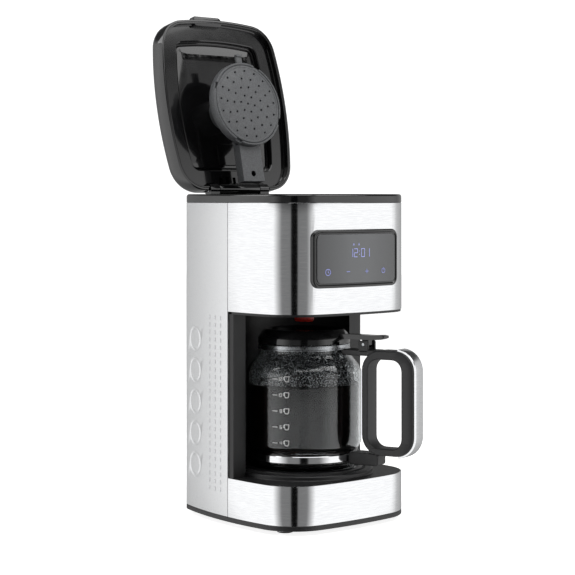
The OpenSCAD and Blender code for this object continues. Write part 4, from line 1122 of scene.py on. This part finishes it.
def make_jug_lid():
    """Jug lid: raised rim with a dished middle, a spout, a thumb lever and its pin lug."""
    low = NECK_Z + 0.4
    high = low + 16
    r = NECK_R + 1
    dish = low + 8
    profile = [(3, low + 5.8), (NECK_R - 5.4, low + 5.8), (NECK_R - 5.4, low - 4.5), (NECK_R - 4.6, low - 5),
               (NECK_R - 3.2, low - 4.6), (NECK_R - 3, low - 4), (NECK_R - 3, low + 0.2), (r - 0.4,
                                                                                           low + 0.2), (r,
                                                                                                        low + 0.7),
               (r, low + 6), (r - 1.2, low + 9), (r - 4, high - 3.2), (r - 6.6, high - 0.8), (r - 9, high),
               (r - 12.4, high), (r - 14.4, high - 1), (r - 15.4, high - 3), (r - 16.6,
                                                                              dish + 1.6), (r - 19, dish),
               (8, dish), (5, dish - 0.6), (3, dish - 1)]
    lid = lathe("jug_cover", JUG.x, JUG.y, profile, closed=True)

    def slab(name, points, w, bevel):
        """A side view of (rho, z) points given a width and eased edges."""
        rings = []
        middle = Vector((sum(p[0] for p in points), sum(p[1] for p in points))) / len(points)
        for e, x in ((bevel, -w / 2), (0, -w / 2 + bevel), (0, w / 2 - bevel), (bevel, w / 2)):
            ring = []
            for p in points:
                q = Vector(p)
                q = q + (middle - q).normalized() * e
                ring.append(in_jug(x, q.x, q.y))
            rings.append(ring)
        return sweep(name, rings)

    lever = slab("lever", [(NECK_R - 5, low + 8), (NECK_R - 3, low + 11), (NECK_R + 8, low + 12),
                           (88, low + 11.4),
                           (99, low + 12), (102.6, low + 11.2), (102.6, low + 8.6), (99, low + 7.2), (88,
                                                                                                      low + 6.4),
                           (NECK_R + 2, low + 6.2)], 13.6, 0.9)
    lug = slab("lug", [(75, low + 7), (83, low + 7), (83, PIN_Z - 1), (81, PIN_Z - 3.8), (77, PIN_Z - 3.8),
                       (75, PIN_Z - 1)], 9.6, 0.5)
    spout = slab("spout", [(-NECK_R + 4, low + 4), (-NECK_R + 2, low + 8), (-NECK_R - 0.6, low + 5),
                           (-NECK_R - 0.6, low + 2)], 20, 0.8)
    finish_piece(join("jug_cover", [lid, lever, lug, spout]), GLOSS, "jug_lid", "black_gloss", "jug_lid")


def make_nozzle():
    r, low = 11, NOZZLE_LOW.z
    profile = [(2, low + 0.8), (4, low + 0.4), (r - 2.6, low), (r - 1.6, low + 0.15), (r - 0.7, low + 1),
               (r, low + 2.6),
               (r, low + 10.6), (r - 0.5, low + 11), (3, low + 11), (3, low + 34), (7.6, low + 34), (8,
                                                                                                     low + 34.4),
               (8, low + 35.4), (2, low + 35.6)]
    nozzle = lathe("red_valve", JUG.x, JUG.y, profile, steps=64)
    finish_piece(nozzle, RED, "drip_stop", "red_nozzle", "drip_stop_nozzle")


# ---------------------------------------------------------------------------------------------------
# Studio
# ---------------------------------------------------------------------------------------------------

VIEW_TURN = math.radians(42.1)


def make_camera():
    data = bpy.data.cameras.new("camera")
    data.lens = 108.3
    data.sensor_width = 36
    data.shift_x = -0.034
    data.shift_y = -0.157
    data.clip_end = 20
    cam = bpy.data.objects.new("camera", data)
    bpy.context.collection.objects.link(cam)
    cam.location = Vector((-1283.4, -1440.9 + MID_Y, 355.5)) * MM
    cam.rotation_euler = (math.pi / 2, 0, -VIEW_TURN)
    bpy.context.scene.camera = cam


def soft_light(name, place, target, size, power):
    data = bpy.data.lights.new(name, "AREA")
    data.shape = "RECTANGLE"
    data.size, data.size_y = size
    data.energy = power
    obj = bpy.data.objects.new(name, data)
    bpy.context.collection.objects.link(obj)
    obj.location = place
    obj.rotation_euler = (Vector(target) - Vector(place)).to_track_quat("-Z", "Y").to_euler()


# Tones of the room by how squarely a direction faces the camera, from straight behind (-1) to straight at it (1)
WALLS = ((-1, 0.3), (-0.55, 0.5), (-0.2, 1.0), (0.56, 1.0), (0.84, 0.19), (0.986, 0.18), (0.991, 0.003))
# The same by height above the horizon
OVERHEAD = ((-1, 1.0), (0.3, 1.0), (0.42, 0.12), (1, 0.2))


def tone_ramp(tree, value, stops):
    """Grey tones along a value that runs from -1 to 1."""
    share = add(tree, "ShaderNodeMapRange", {"Value": value}, From_Min=-1)
    ramp = add(tree, "ShaderNodeValToRGB", {"Fac": share.outputs["Result"]})
    points = ramp.color_ramp.elements
    while len(points) < len(stops):
        points.new(0.5)
    for point, (place, grey) in zip(points, stops):
        point.position = (place + 1) / 2
        point.color = (grey, grey, grey, 1)
    return ramp.outputs["Color"]


def make_studio():
    start()
    bpy.ops.mesh.primitive_circle_add(vertices=96, radius=6, fill_type="NGON")
    floor = named("studio_floor")
    mat, tree, shader, where = finish("studio_paper", "#ffffff", rough=0.9)
    shader.inputs["Emission Color"].default_value = (1, 1, 1, 1)
    path = add(tree, "ShaderNodeLightPath")
    glow = add(tree, "ShaderNodeMapRange", {"Value": path.outputs["Is Camera Ray"]},
               To_Min=0.25, To_Max=0.85)
    tree.links.new(glow.outputs[0], shader.inputs["Emission Strength"])
    floor.data.materials.append(mat)
    floor.visible_glossy = False

    world = bpy.data.worlds.new("studio")
    bpy.context.scene.world = world
    world.use_nodes = True
    tree = world.node_tree
    back = tree.nodes["Background"]
    # White walls to the left and right, greyer behind the machine, and a grey wall with a dark opening in front
    # of its left corner; overhead the room is dim, and whoever looks past the machine sees plain white
    where = add(tree, "ShaderNodeTexCoord").outputs["Generated"]
    flat = add(tree, "ShaderNodeVectorMath", {0: where}, operation="MULTIPLY")
    flat.inputs[1].default_value = (1, 1, 0)
    unit = add(tree, "ShaderNodeVectorMath", {0: flat.outputs[0]}, operation="NORMALIZE")
    toward = add(tree, "ShaderNodeVectorMath", {0: unit.outputs[0]}, operation="DOT_PRODUCT")
    toward.inputs[1].default_value = (-math.sin(VIEW_TURN), -math.cos(VIEW_TURN), 0)
    around = tone_ramp(tree, toward.outputs["Value"], WALLS)
    height = add(tree, "ShaderNodeSeparateXYZ", {"Vector": where})
    upward = tone_ramp(tree, height.outputs["Z"], OVERHEAD)
    walls = add(tree, "ShaderNodeMix", {"A": around, "B": upward}, data_type="RGBA", blend_type="MULTIPLY")
    walls.inputs["Factor"].default_value = 1.0
    path = add(tree, "ShaderNodeLightPath")
    shown = add(tree, "ShaderNodeMix", {"Factor": path.outputs["Is Camera Ray"]}, data_type="RGBA")
    tree.links.new(walls.outputs["Result"], shown.inputs["A"])
    shown.inputs["B"].default_value = (1, 1, 1, 1)
    tree.links.new(shown.outputs["Result"], back.inputs["Color"])
    back.inputs["Strength"].default_value = 1.22
    soft_light("top_softbox", (-0.3, -0.6, 1.9), (0, 0, 0.2), (1.6, 1.6), 16)
    soft_light("left_softbox", (-1.2, 1.2, 1.7), (0, 0, 0.25), (1.2, 1.2), 10)
    soft_light("right_softbox", (1.1, -1.3, 2.0), (0, 0, 0.25), (1.2, 1.2), 10)
    bpy.context.scene.view_settings.view_transform = "Standard"


make_camera()
finish_cad_nodes()
make_wraps()
make_rear_skin()
make_rim()
make_base()
make_feet()
make_hot_plate()
make_control_panel()
make_signs()
make_lid()
make_spray_head()
make_spray_cover()
make_glass()
make_drops()
make_marks()
make_jug_metal()
make_handle()
make_handle_cap()
make_jug_lid()
make_nozzle()
make_studio()
